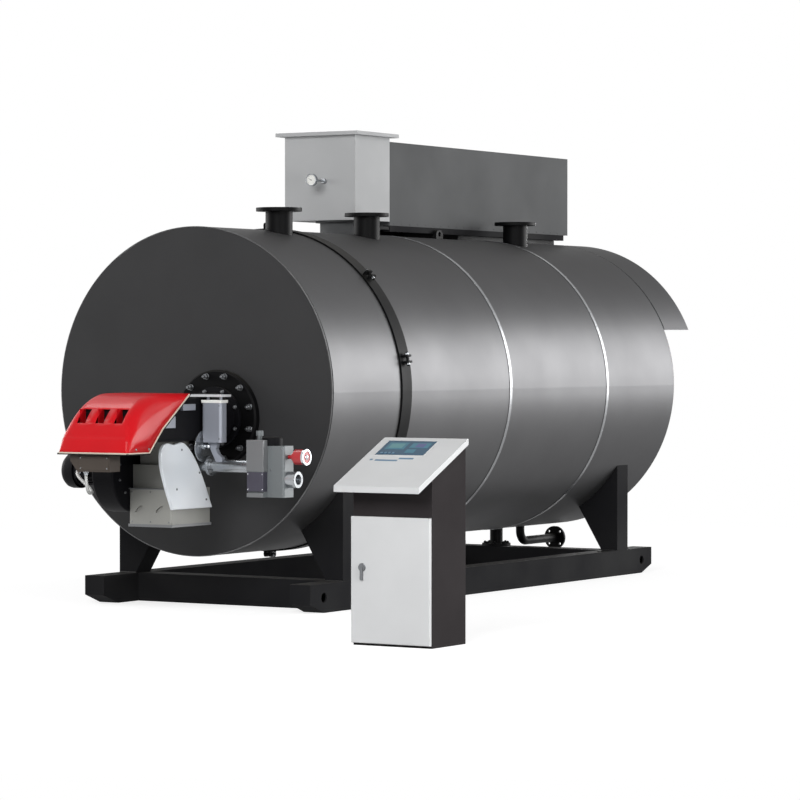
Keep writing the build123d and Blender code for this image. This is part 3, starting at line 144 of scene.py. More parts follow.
def linear(code: str) -> tuple[float, float, float, float]:
    """Turn a colour as it is seen into the renderer's linear values.

    Args:
        code: sRGB colour as six hexadecimal digits.

    Returns:
        Linear red, green and blue, with full opacity.
    """
    parts = [int(code[index:index + 2], 16) / 255 for index in (0, 2, 4)]
    red, green, blue = ((p / 12.92 if p <= 0.04045 else ((p + 0.055) / 1.055) ** 2.4) for p in parts)
    return red, green, blue, 1.0


def add_node(tree: Tree, kind: str, settings: dict | None = None, values: dict | None = None,
             links: dict | None = None) -> bpy.types.Node:
    """Add one shader node with its settings, socket values and links.

    Args:
        tree: Node tree that the node goes into.
        kind: Blender's type name of the node.
        settings: Properties of the node by name.
        values: Fixed values of its inputs, by name or number.
        links: Output sockets to join to its inputs, by name or number.

    Returns:
        The new node.
    """
    node = tree.nodes.new(kind)
    for name, value in (settings or {}).items():
        setattr(node, name, value)
    for key, value in (values or {}).items():
        node.inputs[key].default_value = value
    for key, socket in (links or {}).items():
        tree.links.new(socket, node.inputs[key])
    return node


def empty_tree(owner: bpy.types.Material | bpy.types.World) -> Tree:
    """Clear the node tree of a material or the world.

    Args:
        owner: Material or world that the tree belongs to.

    Returns:
        The empty tree.
    """
    owner.use_nodes = True
    owner.node_tree.nodes.clear()
    return owner.node_tree


def put_in_scene(name: str, data: bpy.types.ID) -> bpy.types.Object:
    """Put a mesh, a lamp or a camera into the scene.

    Args:
        name: Name of the new object.
        data: What the object shows.

    Returns:
        The new object.
    """
    item = bpy.data.objects.new(name, data)
    bpy.context.scene.collection.objects.link(item)
    return item


@dataclass(frozen=True)
class Finish:
    """One real surface finish: what it is made of, its colours and the sizes of its structure.

    Attributes:
        name: Maker's name of the finish.
        slot: Material slot of the record.
        colour: Main colour.
        tone: Second colour, of the slow variation over a sheet or casting.
        metallic: Share of bare metal.
        roughness: Mean roughness.
        spread: Half the range of roughness over the surface.
        pattern: Structure that the making leaves.
        grain: Size of that structure, in millimetres.
        depth: Height of that structure, in millimetres.
        worn: Colour of worn edges.
        wear: Width of the worn and softened edges, in millimetres.
        coat: Weight of a glossy top layer.
        dust: Share of pale dust on faces that look up.
        gloss: Strength of the surface reflection; a half is that of a plain smooth paint.
        glance: Share of the reflection that is left at a glancing angle.
    """

    name: str
    slot: str
    colour: str
    tone: str
    metallic: float = 0.0
    roughness: float = 0.5
    spread: float = 0.06
    pattern: Pattern = Pattern.PAINTED
    grain: float = 3.0
    depth: float = 0.03
    worn: str = "6a6a6a"
    wear: float = 2.0
    coat: float = 0.0
    dust: float = 0.04
    gloss: float = 0.5
    glance: float = 1.0

    def material(self) -> bpy.types.Material:
        """Return the finish's Blender material, made at its first use."""
        return bpy.data.materials.get(self.name) or self.build()

    def build(self) -> bpy.types.Material:
        """Make the node material of the finish.

        Returns:
            The new material.
        """
        material = bpy.data.materials.new(self.name)
        tree = empty_tree(material)
        place = add_node(tree, "ShaderNodeTexCoord").outputs["Object"]
        clouds = add_node(tree, "ShaderNodeTexNoise", values={"Scale": 1000 / CLOUD, "Detail": 4.0},
                          links={"Vector": place}).outputs["Fac"]
        fine = self.structure(tree, place)
        edges, normal = self.worn_edges(tree, clouds, fine)
        toned = add_node(tree, "ShaderNodeMapRange", values={"From Min": TONED[0], "From Max": TONED[1]},
                         links={"Value": clouds}).outputs["Result"]
        colour = add_node(tree, "ShaderNodeMix", {"data_type": "RGBA"}, links={0: toned},
                          values={6: linear(self.colour), 7: linear(self.tone)}).outputs[2]
        if self.dust:
            colour = add_node(tree, "ShaderNodeMix", {"data_type": "RGBA"}, values={7: linear(DUST)},
                              links={0: self.dust_cover(tree, clouds), 6: colour}).outputs[2]
        colour = add_node(tree, "ShaderNodeMix", {"data_type": "RGBA"}, values={7: linear(self.worn)},
                          links={0: edges, 6: colour}).outputs[2]
        rough = add_node(tree, "ShaderNodeMapRange", links={"Value": clouds},
                         values={"From Min": ROUGHENED[0], "From Max": ROUGHENED[1],
                                 "To Min": self.roughness - self.spread,
                                 "To Max": self.roughness + self.spread}).outputs["Result"]
        bump = add_node(tree, "ShaderNodeBump", values={"Strength": 1.0, "Distance": self.depth * MM},
                        links={"Height": fine, "Normal": normal}).outputs["Normal"]
        shader = add_node(tree, "ShaderNodeBsdfPrincipled",
                          values={"Metallic": self.metallic, "Coat Weight": self.coat,
                                  "Coat Roughness": COAT_ROUGHNESS, "Specular IOR Level": self.gloss,
                                  "Specular Tint": (self.glance, self.glance, self.glance, 1.0)},
                          links={"Base Color": colour, "Roughness": rough, "Normal": bump})
        add_node(tree, "ShaderNodeOutputMaterial", links={"Surface": shader.outputs["BSDF"]})
        return material

    def structure(self, tree: Tree, place: Socket) -> Socket:
        """Add the pattern that the making leaves.

        Args:
            tree: Node tree of the material.
            place: Coordinates on the object, in metres.

        Returns:
            Height of the pattern, from 0 to 1.
        """
        scale = 1000 / self.grain
        if self.pattern is Pattern.SPANGLED:
            return add_node(tree, "ShaderNodeTexVoronoi", values={"Scale": scale},
                            links={"Vector": place}).outputs["Color"]
        if self.pattern is Pattern.ROLLED:
            place = add_node(tree, "ShaderNodeMapping", values={"Scale": (0.02, 1.0, 0.02)},
                             links={"Vector": place}).outputs["Vector"]
        detail = 6.0 if self.pattern is Pattern.CAST else 2.0
        return add_node(tree, "ShaderNodeTexNoise", values={"Scale": scale, "Detail": detail},
                        links={"Vector": place}).outputs["Fac"]

    def worn_edges(self, tree: Tree, clouds: Socket, fine: Socket) -> tuple[Socket, Socket]:
        """Find the sharp edges, where handling rubs the finish away.

        Args:
            tree: Node tree of the material.
            clouds: Slow variation, which breaks the wear into patches.
            fine: Structure of the finish, which breaks it finely.

        Returns:
            Share of wear at each point, and the normal with its edges softened.
        """
        soft = add_node(tree, "ShaderNodeBevel", {"samples": 4}, {"Radius": self.wear * MM}).outputs["Normal"]
        flat = add_node(tree, "ShaderNodeNewGeometry").outputs["Normal"]
        alike = add_node(tree, "ShaderNodeVectorMath", {"operation": "DOT_PRODUCT"},
                         links={0: soft, 1: flat}).outputs["Value"]
        share = add_node(tree, "ShaderNodeMapRange", links={"Value": alike},
                         values={"From Min": EDGE_TURN[0], "From Max": EDGE_TURN[1],
                                 "To Max": MOST_WEAR}).outputs["Result"]
        for cause, (low, high) in ((clouds, RUBBED), (fine, SPECKED)):
            spots = add_node(tree, "ShaderNodeMapRange", values={"From Min": low, "From Max": high},
                             links={"Value": cause}).outputs["Result"]
            share = add_node(tree, "ShaderNodeMath", {"operation": "MULTIPLY"},
                             links={0: share, 1: spots}).outputs[0]
        return share, soft

    def dust_cover(self, tree: Tree, clouds: Socket) -> Socket:
        """Find the faces that look up, where dust settles.

        Args:
            tree: Node tree of the material.
            clouds: Slow variation, which makes the dust uneven.

        Returns:
            Share of dust at each point.
        """
        normal = add_node(tree, "ShaderNodeNewGeometry").outputs["Normal"]
        upward = add_node(tree, "ShaderNodeSeparateXYZ", links={0: normal}).outputs["Z"]
        level = add_node(tree, "ShaderNodeMapRange", links={"Value": upward},
                         values={"From Min": DUSTY_FROM, "To Max": 2 * self.dust}).outputs["Result"]
        return add_node(tree, "ShaderNodeMath", {"operation": "MULTIPLY"},
                        links={0: level, 1: clouds}).outputs[0]


# Rolled steel sheet over the lagging, whose fine lines round the drum spread the light into long soft bands
CLADDING = Finish("rolled_steel_cladding", "cladding", "626263", "5e5e5f", 0.85, 0.43, 0.015,
                  Pattern.ROLLED, grain=2.5, depth=0.01, worn="c4c5c6", dust=0.03, glance=0.25)
# Steel end plate with sprayed dark grey enamel, even and almost matt
PLATE_GREY = Finish("dark_grey_enamel_plate", "plate_grey", "2e2e2f", "2b2b2c", 0.0, 0.55, 0.06, grain=4.0,
                    depth=0.05, gloss=0.2)
# Black enamel on flanges and bands, over machined steel, with a dull sheen
BLACK_ENAMEL = Finish("black_enamel_fittings", "black_enamel", "0a0a0b", "070708", 0.0, 0.5, 0.06,
                      grain=2.5, depth=0.03, worn="34343a", gloss=0.06)
# Bituminous black paint on the skids, thick, matt and slightly uneven
SKID_BLACK = Finish("black_paint_on_skid", "skid_black", "232324", "1f1f21", 0.0, 0.75, 0.08, grain=6.0,
                    depth=0.12, worn="4c4a47", wear=3.0, gloss=0.03)
# Light grey enamel sprayed on the flue box, smooth with hardly a sheen
FLUE_LIGHT = Finish("light_grey_sprayed_enamel", "flue_light", "b2b3b4", "acadae", 0.0, 0.55, 0.05,
                    grain=2.0, depth=0.015, worn="8d8e8f", gloss=0.05)
# Mid grey enamel sprayed on the economiser casing, flat and even
DUCT_GREY = Finish("mid_grey_sprayed_enamel", "duct_grey", "545556", "505152", 0.0, 0.62, 0.03, grain=2.0,
                   depth=0.02, worn="8f9091", gloss=0.05)
# Stainless strip over the seams, brushed along its length, a thin bright line
SEAM_BRIGHT = Finish("polished_stainless_strip", "seam_bright", "7d7e80", "77787a", 1.0, 0.34, 0.05,
                     Pattern.ROLLED, grain=1.5, depth=0.005, worn="eeeeef", dust=0.0)
# Red stove enamel on pressed sheet, satin, with a faint orange peel and wide soft highlights
HOOD_RED = Finish("red_stove_enamel", "hood_red", "c80a16", "be0814", 0.0, 0.36, 0.05, grain=5.0,
                  depth=0.02, worn="8c2a2c", wear=1.5, coat=0.06, dust=0.0, gloss=0.18)
# Pale moulded plastic of the intake cover, satin with a soft texture
COVER_WHITE = Finish("pale_moulded_plastic", "cover_white", "f2f6fa", "eaf0f6", 0.0, 0.4, 0.06, grain=1.2,
                     depth=0.02, worn="c2c8cf")
# Sand-cast aluminium with its skin left on, grey and grainy
CAST_GREY = Finish("sand_cast_aluminium", "cast_grey", "94948f", "8a8a86", 0.2, 0.52, 0.08, Pattern.CAST,
                   grain=3.5, depth=0.15, worn="a9a9a6")
# Black enamel on cast iron, which the cast grain shows through
CASING_BLACK = Finish("black_enamel_on_casting", "casing_black", "0a0a0d", "0d0d10", 0.0, 0.55, 0.08,
                      Pattern.CAST, grain=3.0, depth=0.12, worn="303034", gloss=0.08)
# Die-cast aluminium, finely blasted, with a soft bluish sheen
ACTUATOR_GREY = Finish("blasted_die_cast", "actuator_grey", "979ba5", "8c909a", 0.3, 0.42, 0.06,
                       Pattern.CAST, grain=1.5, depth=0.03, worn="b9bcc2")
# Hot-dip galvanised steel, bright, with its zinc crystals
ZINC = Finish("galvanised_steel", "zinc", "a4a7aa", "94989c", 0.9, 0.24, 0.06, Pattern.SPANGLED, grain=8.0,
              depth=0.01, worn="d0d2d4", dust=0.0)
# Red moulded plastic of the pressure switch, glossy
SWITCH_RED = Finish("red_moulded_plastic", "switch_red", "b41e26", "a51a22", 0.0, 0.35, 0.05, grain=1.5,
                    depth=0.02, worn="8a3035", coat=0.3)
# Dark powder coat with its fine texture, quite matt
CABINET_DARK = Finish("dark_textured_powder_coat", "cabinet_dark", "353233", "312e2f", 0.0, 0.8, 0.05,
                      Pattern.CAST, grain=2.0, depth=0.05, worn="6d6b6b", gloss=0.02)
# Light powder coat, smoother than the dark one, satin
CABINET_LIGHT = Finish("light_powder_coat", "cabinet_light", "cbcccd", "c5c6c7", 0.0, 0.42, 0.05, grain=1.8,
                       depth=0.02, worn="a9a9a9", gloss=0.12)
# Dark blue glass of the panel, smooth, with an anti-glare front that reflects weakly
SCREEN = Finish("dark_panel_glass", "screen", "0e4560", "0c3d56", 0.0, 0.16, 0.03, grain=40.0, depth=0.0,
                worn="2a5a70", wear=0.5, dust=0.0, gloss=0.25, glance=0.4)
# Chrome plating on the cam's hub, small screws, the switch's ring and the stem's nuts, nearly a mirror
LOCK_CHROME = Finish("chrome_plating", "lock_chrome", "c9ccd0", "bfc2c6", 1.0, 0.14, 0.04, grain=1.0,
                     depth=0.003, worn="e4e5e6", wear=0.6, dust=0.0)
# Zinc-plated steel of nuts, screws, the grille and the lock, with a grey metallic sheen
PLATED_STEEL = Finish("zinc_plated_screws", "zinc", "7f8183", "6f7174", 0.9, 0.3, 0.08, Pattern.CAST,
                      grain=1.5, depth=0.02, worn="d0d0d0", wear=0.5, dust=0.0)
# Beige sealing profile round the hood's rim, matt
RIM_BEIGE = Finish("beige_rim_profile", "cover_white", "cfc4b4", "c2b7a7", 0.0, 0.5, 0.05, grain=1.0,
                   depth=0.02, worn="a89f92", wear=0.8)
# Pale grey corrugated plastic conduit, matt and slightly waxy
CONDUIT_GREY = Finish("pale_grey_conduit", "zinc", "c9cac8", "bfc0be", 0.0, 0.45, 0.06, grain=1.0,
                      depth=0.01, worn="a9aaa8", wear=0.5)
# Moulded plastic of the terminal box, matt, darkened to a brown-grey that paints in the shade of the hood
# above it
BOX_PAINTED_SHADE = Finish("box_plastic_with_painted_shade", "cast_grey", "48413b", "423b36", 0.0, 0.5, 0.06, grain=1.5,
                   depth=0.03, worn="7c766f", wear=1.0, gloss=0.2)
# Grey paint over the die-cast body of the gas valve, which its fine grain shows through
VALVE_GREY = Finish("grey_painted_die_cast", "actuator_grey", "74797b", "6d7274", 0.1, 0.45, 0.06,
                    Pattern.CAST, grain=1.5, depth=0.03, worn="a9abad", wear=1.0, gloss=0.3)
# Purple-grey anodised body of the gas valve's coil, satin
COIL_GREY = Finish("anodised_coil_body", "cast_grey", "4a4855", "42404c", 0.3, 0.45, 0.06, Pattern.CAST,
                   grain=1.5, depth=0.04, worn="8d8b96", wear=1.0)
# Grey satin of the moulded caps over the coil, and of the air box's folded ledges
COIL_LIGHT = Finish("light_coil_cap", "actuator_grey", "77797b", "707274", 0.1, 0.4, 0.06, grain=1.5,
                    depth=0.02, worn="d5d6d8", wear=1.0)
# White enamel of the dial's face and the actuator's lid band, smooth and clean
DIAL_WHITE = Finish("white_dial_enamel", "cabinet_light", "eeeeea", "e6e6e2", 0.0, 0.35, 0.03, grain=2.0,
                    depth=0.0, worn="dddddd", wear=0.3, dust=0.0)
# Black print of the dial's marks and hand, matt
MARK_BLACK = Finish("black_print", "black_enamel", "1a1a1c", "161618", 0.0, 0.5, 0.04, grain=1.0, depth=0.0,
                    worn="303033", wear=0.2, dust=0.0)
# Bluish grey print of the desk's bars and the panel's keys
MARK_BLUE = Finish("bluish_grey_print", "screen", "47708c", "41677f", 0.0, 0.45, 0.04, grain=1.0, depth=0.0,
                   worn="47708c", wear=0.2, dust=0.0)
# Paler glass fields of the panel, lit from behind when in use
SCREEN_FIELD = Finish("pale_panel_field", "screen", "2a6b80", "256175", 0.0, 0.18, 0.03, grain=30.0,
                      depth=0.0, worn="5fa0b4", wear=0.3, dust=0.0, gloss=0.25, glance=0.4)
# Green-grey field of the display
SCREEN_GLOW = Finish("green_grey_display", "screen", "4f8488", "457a80", 0.0, 0.18, 0.03, grain=30.0,
                     depth=0.0, worn="5f9098", wear=0.3, dust=0.0, gloss=0.25, glance=0.4)
# Violet field of the status display
SCREEN_VIOLET = Finish("violet_display", "screen", "46507e", "3d4774", 0.0, 0.18, 0.03, grain=30.0,
                       depth=0.0, worn="56608e", wear=0.3, dust=0.0, gloss=0.25, glance=0.4)
# Steel weld beads under black paint, whose ripples catch the light
WELD_BLACK = Finish("painted_weld_bead", "skid_black", "262627", "1f1f20", 0.0, 0.45, 0.08, Pattern.CAST,
                    grain=4.0, depth=0.5, worn="5c5a57", wear=1.5)
# Milled aluminium plate, satin, bright of itself and brightened further as painted light falling on its top
PAINTED_LIGHT_PLATE = Finish("milled_plate_with_painted_light", "actuator_grey", "e3e5e8", "d8dadd", 0.4, 0.35, 0.05,
                      grain=2.0, depth=0.01, worn="f0f1f2", wear=1.0)

# The actuator's bracket gets a plate colour brightened as painted light on its top.
# The terminal box gets the brown-grey that paints in the shade of the hood.
NODE_FINISHES = {"actuator_bracket": PAINTED_LIGHT_PLATE, "terminal_box": BOX_PAINTED_SHADE, "gas_valve": VALVE_GREY,
                 "door_lock": PLATED_STEEL}
CAD_FINISHES = {finish.slot: finish for finish in (
    CLADDING, PLATE_GREY, BLACK_ENAMEL, SKID_BLACK, FLUE_LIGHT, DUCT_GREY, SEAM_BRIGHT, HOOD_RED,
    COVER_WHITE, CAST_GREY, CASING_BLACK, ACTUATOR_GREY, ZINC, SWITCH_RED, CABINET_DARK, CABINET_LIGHT,
    SCREEN, LOCK_CHROME)}


def facing(point: Sequence[float], direction: Sequence[float]) -> Matrix:
    """Return the place at a point whose own z axis looks along a direction, in millimetres."""
    turn = Vector(direction).to_track_quat("Z", "Y").to_matrix().to_4x4()
    return Matrix.Translation(Vector(point)) @ turn


def places_at(points: Iterable[Sequence[float]], way: Sequence[float]) -> list[Matrix]:
    """Return places at some points, in millimetres, that all look one way."""
    return [facing(point, way) for point in points]


def on_circle(radius: float, angle: float, height: float = 0.0) -> Vector:
    """Return the point at an angle, in radians, of a circle round the z axis."""
    return Vector((radius * math.cos(angle), radius * math.sin(angle), height))


def turned(place: Matrix, angle: float) -> Matrix:
    """Return a place turned about its own z axis by an angle in degrees."""
    return place @ Matrix.Rotation(math.radians(angle), 4, "Z")


def scaled(outline: Sequence[Pair], width: float, height: float) -> list[Pair]:
    """Return an outline that is given in shares, at its width and height."""
    return [(width * across, height * up) for across, up in outline]


def ring_of(count: int, radius: float, place: Matrix, start: float = 0.0) -> list[Matrix]:
    """Spread places evenly on a circle.

    Args:
        count: Number of places.
        radius: Radius of the circle, in millimetres.
        place: Centre of the circle, with its z axis along the circle's axis.
        start: Angle of the first place, in degrees.

    Returns:
        One place for each, all looking the same way.
    """
    angles = [math.radians(start + 360 * index / count) for index in range(count)]
    return [place @ Matrix.Translation(on_circle(radius, angle)) for angle in angles]


def on_drum(angle: float, y: float, radius: float) -> Matrix:
    """Make a place on the drum that looks away from its axis.

    Args:
        angle: Angle from the crown toward the right-hand side, in degrees.
        y: Place along the drum, in millimetres.
        radius: Distance from the drum's axis, in millimetres.

    Returns:
        The place as a matrix, in millimetres.
    """
    out = Vector((math.sin(math.radians(angle)), 0, math.cos(math.radians(angle))))
    return facing((out.x * radius, y, AXIS_Z + out.z * radius), out)


class Draft:
    """Mesh in the making, with all sizes and places in millimetres of the row frame."""

    def __init__(self) -> None:
        """Start with an empty mesh."""
        self.mesh = bmesh.new()

    def box(self, low: Sequence[float], high: Sequence[float], place: Matrix | None = None) -> None:
        """Add a block.

        Args:
            low: Lowest corner.
            high: Highest corner.
            place: Place that the corners are measured in.
        """
        size = [b - a for a, b in zip(low, high)]
        middle = [(a + b) / 2 for a, b in zip(low, high)]
        matrix = Matrix.Translation(middle) @ Matrix.Diagonal((*size, 1.0))
        bmesh.ops.create_cube(self.mesh, size=1.0, matrix=(place or Matrix()) @ matrix)

    def prism(self, outline: Sequence[Pair], place: Matrix, height: float) -> None:
        """Add a straight prism.

        Args:
            outline: Corners in the place's x and y.
            place: Place of the prism's foot.
            height: Length along the place's z axis.
        """
        foot = [self.mesh.verts.new(place @ Vector((x, y, 0))) for x, y in outline]
        head = [self.mesh.verts.new(place @ Vector((x, y, height))) for x, y in outline]
        self.mesh.faces.new(list(reversed(foot)))
        self.mesh.faces.new(head)
        self.band(foot, head, len(foot))

    def lathe(self, profile: Sequence[Pair], place: Matrix, steps: int) -> None:
        """Add a turned form.

        Args:
            profile: Points as radius and height; a radius of 0 closes the form at its axis.
            place: Place whose z axis is the form's axis.
            steps: Number of sides round the axis.
        """
        rings = []
        for radius, height in profile:
            turns = [math.tau * step / steps for step in range(steps)] if radius else [0.0]
            rings.append([self.mesh.verts.new(place @ on_circle(radius, turn, height)) for turn in turns])
        for lower, upper in zip(rings, rings[1:]):
            self.band(lower, upper, steps)

    def band(self, lower: list[bmesh.types.BMVert], upper: list[bmesh.types.BMVert], steps: int) -> None:
        """Join two rings of points by faces.

        Args:
            lower: First ring, or one point.
            upper: Second ring, or one point.
            steps: Number of sides.
        """
        if len(lower) == 1 and len(upper) == 1:
            return
        for step in range(steps):
            after = (step + 1) % steps
            if len(lower) == 1:
                self.mesh.faces.new((lower[0], upper[step], upper[after]))
            elif len(upper) == 1:
                self.mesh.faces.new((lower[step], lower[after], upper[0]))
            else:
                self.mesh.faces.new((lower[step], lower[after], upper[after], upper[step]))

    def washer(self, place: Matrix, inner: float, outer: float, height: float, steps: int) -> None:
        """Add a flat ring.

        Args:
            place: Foot of the ring.
            inner: Inner radius.
            outer: Outer radius.
            height: Thickness along the place's z axis.
            steps: Number of sides.
        """
        self.lathe([(inner, 0), (outer, 0), (outer, height), (inner, height), (inner, 0)], place, steps)

    def torus(self, place: Matrix, major: float, minor: float, steps: int, sides: int) -> None:
        """Add a round bead bent to a circle.

        Args:
            place: Centre of the circle, with its axis along z.
            major: Radius of the circle.
            minor: Radius of the bead.
            steps: Number of steps round the circle.
            sides: Number of sides of the bead.
        """
        turns = [math.tau * side / sides for side in range(sides + 1)]
        outline = [(major + minor * math.cos(turn), minor * math.sin(turn)) for turn in turns]
        self.lathe(outline, place, steps)

    def nut(self, place: Matrix, across: float, height: float) -> None:
        """Add a hexagon nut on its washer, with the thread's end standing out.

        Args:
            place: Seat of the washer.
            across: Width across the flats.
            height: Height of the nut.
        """
        self.lathe(scaled(WASHER, across, across), place, 20)
        seat = place @ Matrix.Translation((0, 0, across * WASHER[-1][1]))
        self.lathe(scaled(HEXAGON, across / math.sqrt(3), height), seat, 6)
        self.lathe(scaled(THREAD_END, across, height), seat, 12)

    def tube(self, path: Sequence[Vector], radii: Sequence[float], sides: int) -> None:
        """Add a closed tube along a path.

        Args:
            path: Points of the centreline.
            radii: Radius at each point.
            sides: Number of sides.
        """
        rings = []
        turn = (path[1] - path[0]).to_track_quat("Z", "Y")
        angles = [math.tau * side / sides for side in range(sides)]
        for index, point in enumerate(path):
            ahead = path[min(index + 1, len(path) - 1)] - path[max(index - 1, 0)]
            turn = (turn @ Vector(UP)).rotation_difference(ahead) @ turn
            corners = [point + turn @ on_circle(radii[index], angle) for angle in angles]
            rings.append([self.mesh.verts.new(corner) for corner in corners])
        for lower, upper in zip(rings, rings[1:]):
            self.band(lower, upper, sides)
        self.mesh.faces.new(list(reversed(rings[0])))
        self.mesh.faces.new(rings[-1])

    def finish(self, name: str, finish: Finish, body: Body = Body.PLANT, bevel: float = 0.0,
               smooth: float = 35.0) -> bpy.types.Object:
        """Turn the draft into a dressed piece that rides on its body.

        Args:
            name: Name of the piece.
            finish: Finish that it gets.
            body: Body that it moves with.
            bevel: Width of its rounded edges, in millimetres.
            smooth: Angle below which faces are shaded as one, in degrees.

        Returns:
            The new piece.
        """
        bmesh.ops.recalc_face_normals(self.mesh, faces=self.mesh.faces[:])
        bmesh.ops.scale(self.mesh, vec=(MM, MM, MM), verts=self.mesh.verts[:])
        data = bpy.data.meshes.new(name)
        self.mesh.to_mesh(data)
        self.mesh.free()
        data.shade_smooth()
        data.set_sharp_from_angle(angle=math.radians(smooth))
        data.materials.append(finish.material())
        piece = put_in_scene(name, data)
        if bevel:
            rounding = piece.modifiers.new("rounded_edges", "BEVEL")
            rounding.width = bevel * MM
            rounding.segments = 2
            rounding.limit_method = "ANGLE"
            rounding.angle_limit = math.radians(40)
            rounding.harden_normals = False
        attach(piece, body.value)
        return piece


@dataclass
class Assembly(ABC):
    """A part of the plant that is dressed as one.

    Attributes:
        pieces: Pieces that it has made.
    """

    pieces: list[bpy.types.Object] = field(default_factory=list, init=False)

    @abstractmethod
    def dress(self) -> None:
        """Build the assembly's pieces."""

    def keep(self, piece: bpy.types.Object) -> bpy.types.Object:
        """Note a piece as one of the assembly's, and return it."""
        self.pieces.append(piece)
        return piece

    def fasten(self, name: str, places: Iterable[Matrix], size: Pair, head: Head = Head.NUT,
               finish: Finish = PLATED_STEEL) -> None:
        """Make one piece of like fasteners.

        Args:
            name: Name of the piece.
            places: Seats of the heads.
            size: Width across the flats, or radius of a round head, and height.
            head: Kind of the heads.
            finish: Finish that they get.
        """
        draft = Draft()
        for place in places:
            if head is Head.NUT:
                draft.nut(place, *size)
            else:
                draft.lathe(scaled(ROUND_HEAD, *size), place, 14)
        self.keep(draft.finish(name, finish))

    def blocks(self, name: str, finish: Finish, blocks: Iterable[Block], bevel: float = 0.0,
               place: Matrix | None = None) -> None:
        """Make one piece of blocks.

        Args:
            name: Name of the piece.
            finish: Finish that they get.
            blocks: Lowest and highest corner of each.
            bevel: Width of their rounded edges, in millimetres.
            place: Place that the corners are measured in.
        """
        draft = Draft()
        for low, high in blocks:
            draft.box(low, high, place)
        self.keep(draft.finish(name, finish, bevel=bevel))

    def report(self) -> None:
        """Log the assembly's name and its pieces."""
        for piece in self.pieces:
            LOG.info("%s: %s, %d faces", type(self).__name__, piece.name, len(piece.data.polygons))


@dataclass(frozen=True)
class Lamp(ABC):
    """A lamp of the studio.

    Attributes:
        name: Name of the lamp.
        at: Place of the lamp, in metres.
        to: Point that it looks at, in metres.
        power: Power, in watts.
    """

    name: str
    at: Point
    to: Point
    power: float

    @abstractmethod
    def light(self) -> bpy.types.Light:
        """Return the lamp's light, without its power."""

    def hang(self) -> None:
        """Hang the lamp at its place, looking at its point."""
        data = self.light()
        data.energy = self.power
        stand = put_in_scene(self.name, data)
        stand.location = self.at
        stand.rotation_euler = (Vector(self.to) - Vector(self.at)).to_track_quat("-Z", "Y").to_euler()


@dataclass(frozen=True)
class Softbox(Lamp):
    """A rectangular softbox.

    Attributes:
        size: Width and height, in metres.
    """

    size: Pair

    def light(self) -> bpy.types.Light:
        """Make a rectangular area light of the softbox's size.

        Returns:
            The light.
        """
        data = bpy.data.lights.new(self.name, "AREA")
        data.shape = "RECTANGLE"
        data.size, data.size_y = self.size
        return data


@dataclass(frozen=True)
class SoftSpot(Lamp):
    """A spot with a soft edge.

    Attributes:
        radius: Radius of its soft disc, in metres.
        cone: Opening of its cone, in degrees.
        blend: Share of the cone over which its light fades.
    """

    radius: float
    cone: float
    blend: float

    def light(self) -> bpy.types.Light:
        """Make a spot light with the spot's disc and cone.

        Returns:
            The light.
        """
        data = bpy.data.lights.new(self.name, "SPOT")
        data.shadow_soft_size = self.radius
        data.spot_size = math.radians(self.cone)
        data.spot_blend = self.blend
        return data


LAMPS = (
    Softbox("key_softbox", (4.0, -13.0, 6.5), (0.3, 0.0, 1.2), 1300.0, (7.0, 5.0)),
    Softbox("side_softbox", (10.5, 16.5, 4.0), (0.9, 1.9, 1.4), 3000.0, (13.0, 7.5)),
    Softbox("right_softbox", (8.0, -3.5, 1.8), (0.4, -1.0, 0.8), 240.0, (3.0, 3.0)),
    Softbox("left_softbox", (-13.0, -1.0, 4.0), (-0.8, 1.4, 1.3), 1000.0, (11.0, 5.0)),
    Softbox("rear_softbox", (-5.0, 20.0, 1.9), (0.0, 4.0, 1.4), 900.0, (7.0, 3.0)),
    SoftSpot("hood_spot", (-3.76, 0.14, 6.85), (0.16, -1.4, 1.25), 700.0, 1.2, 14.0, 0.6))


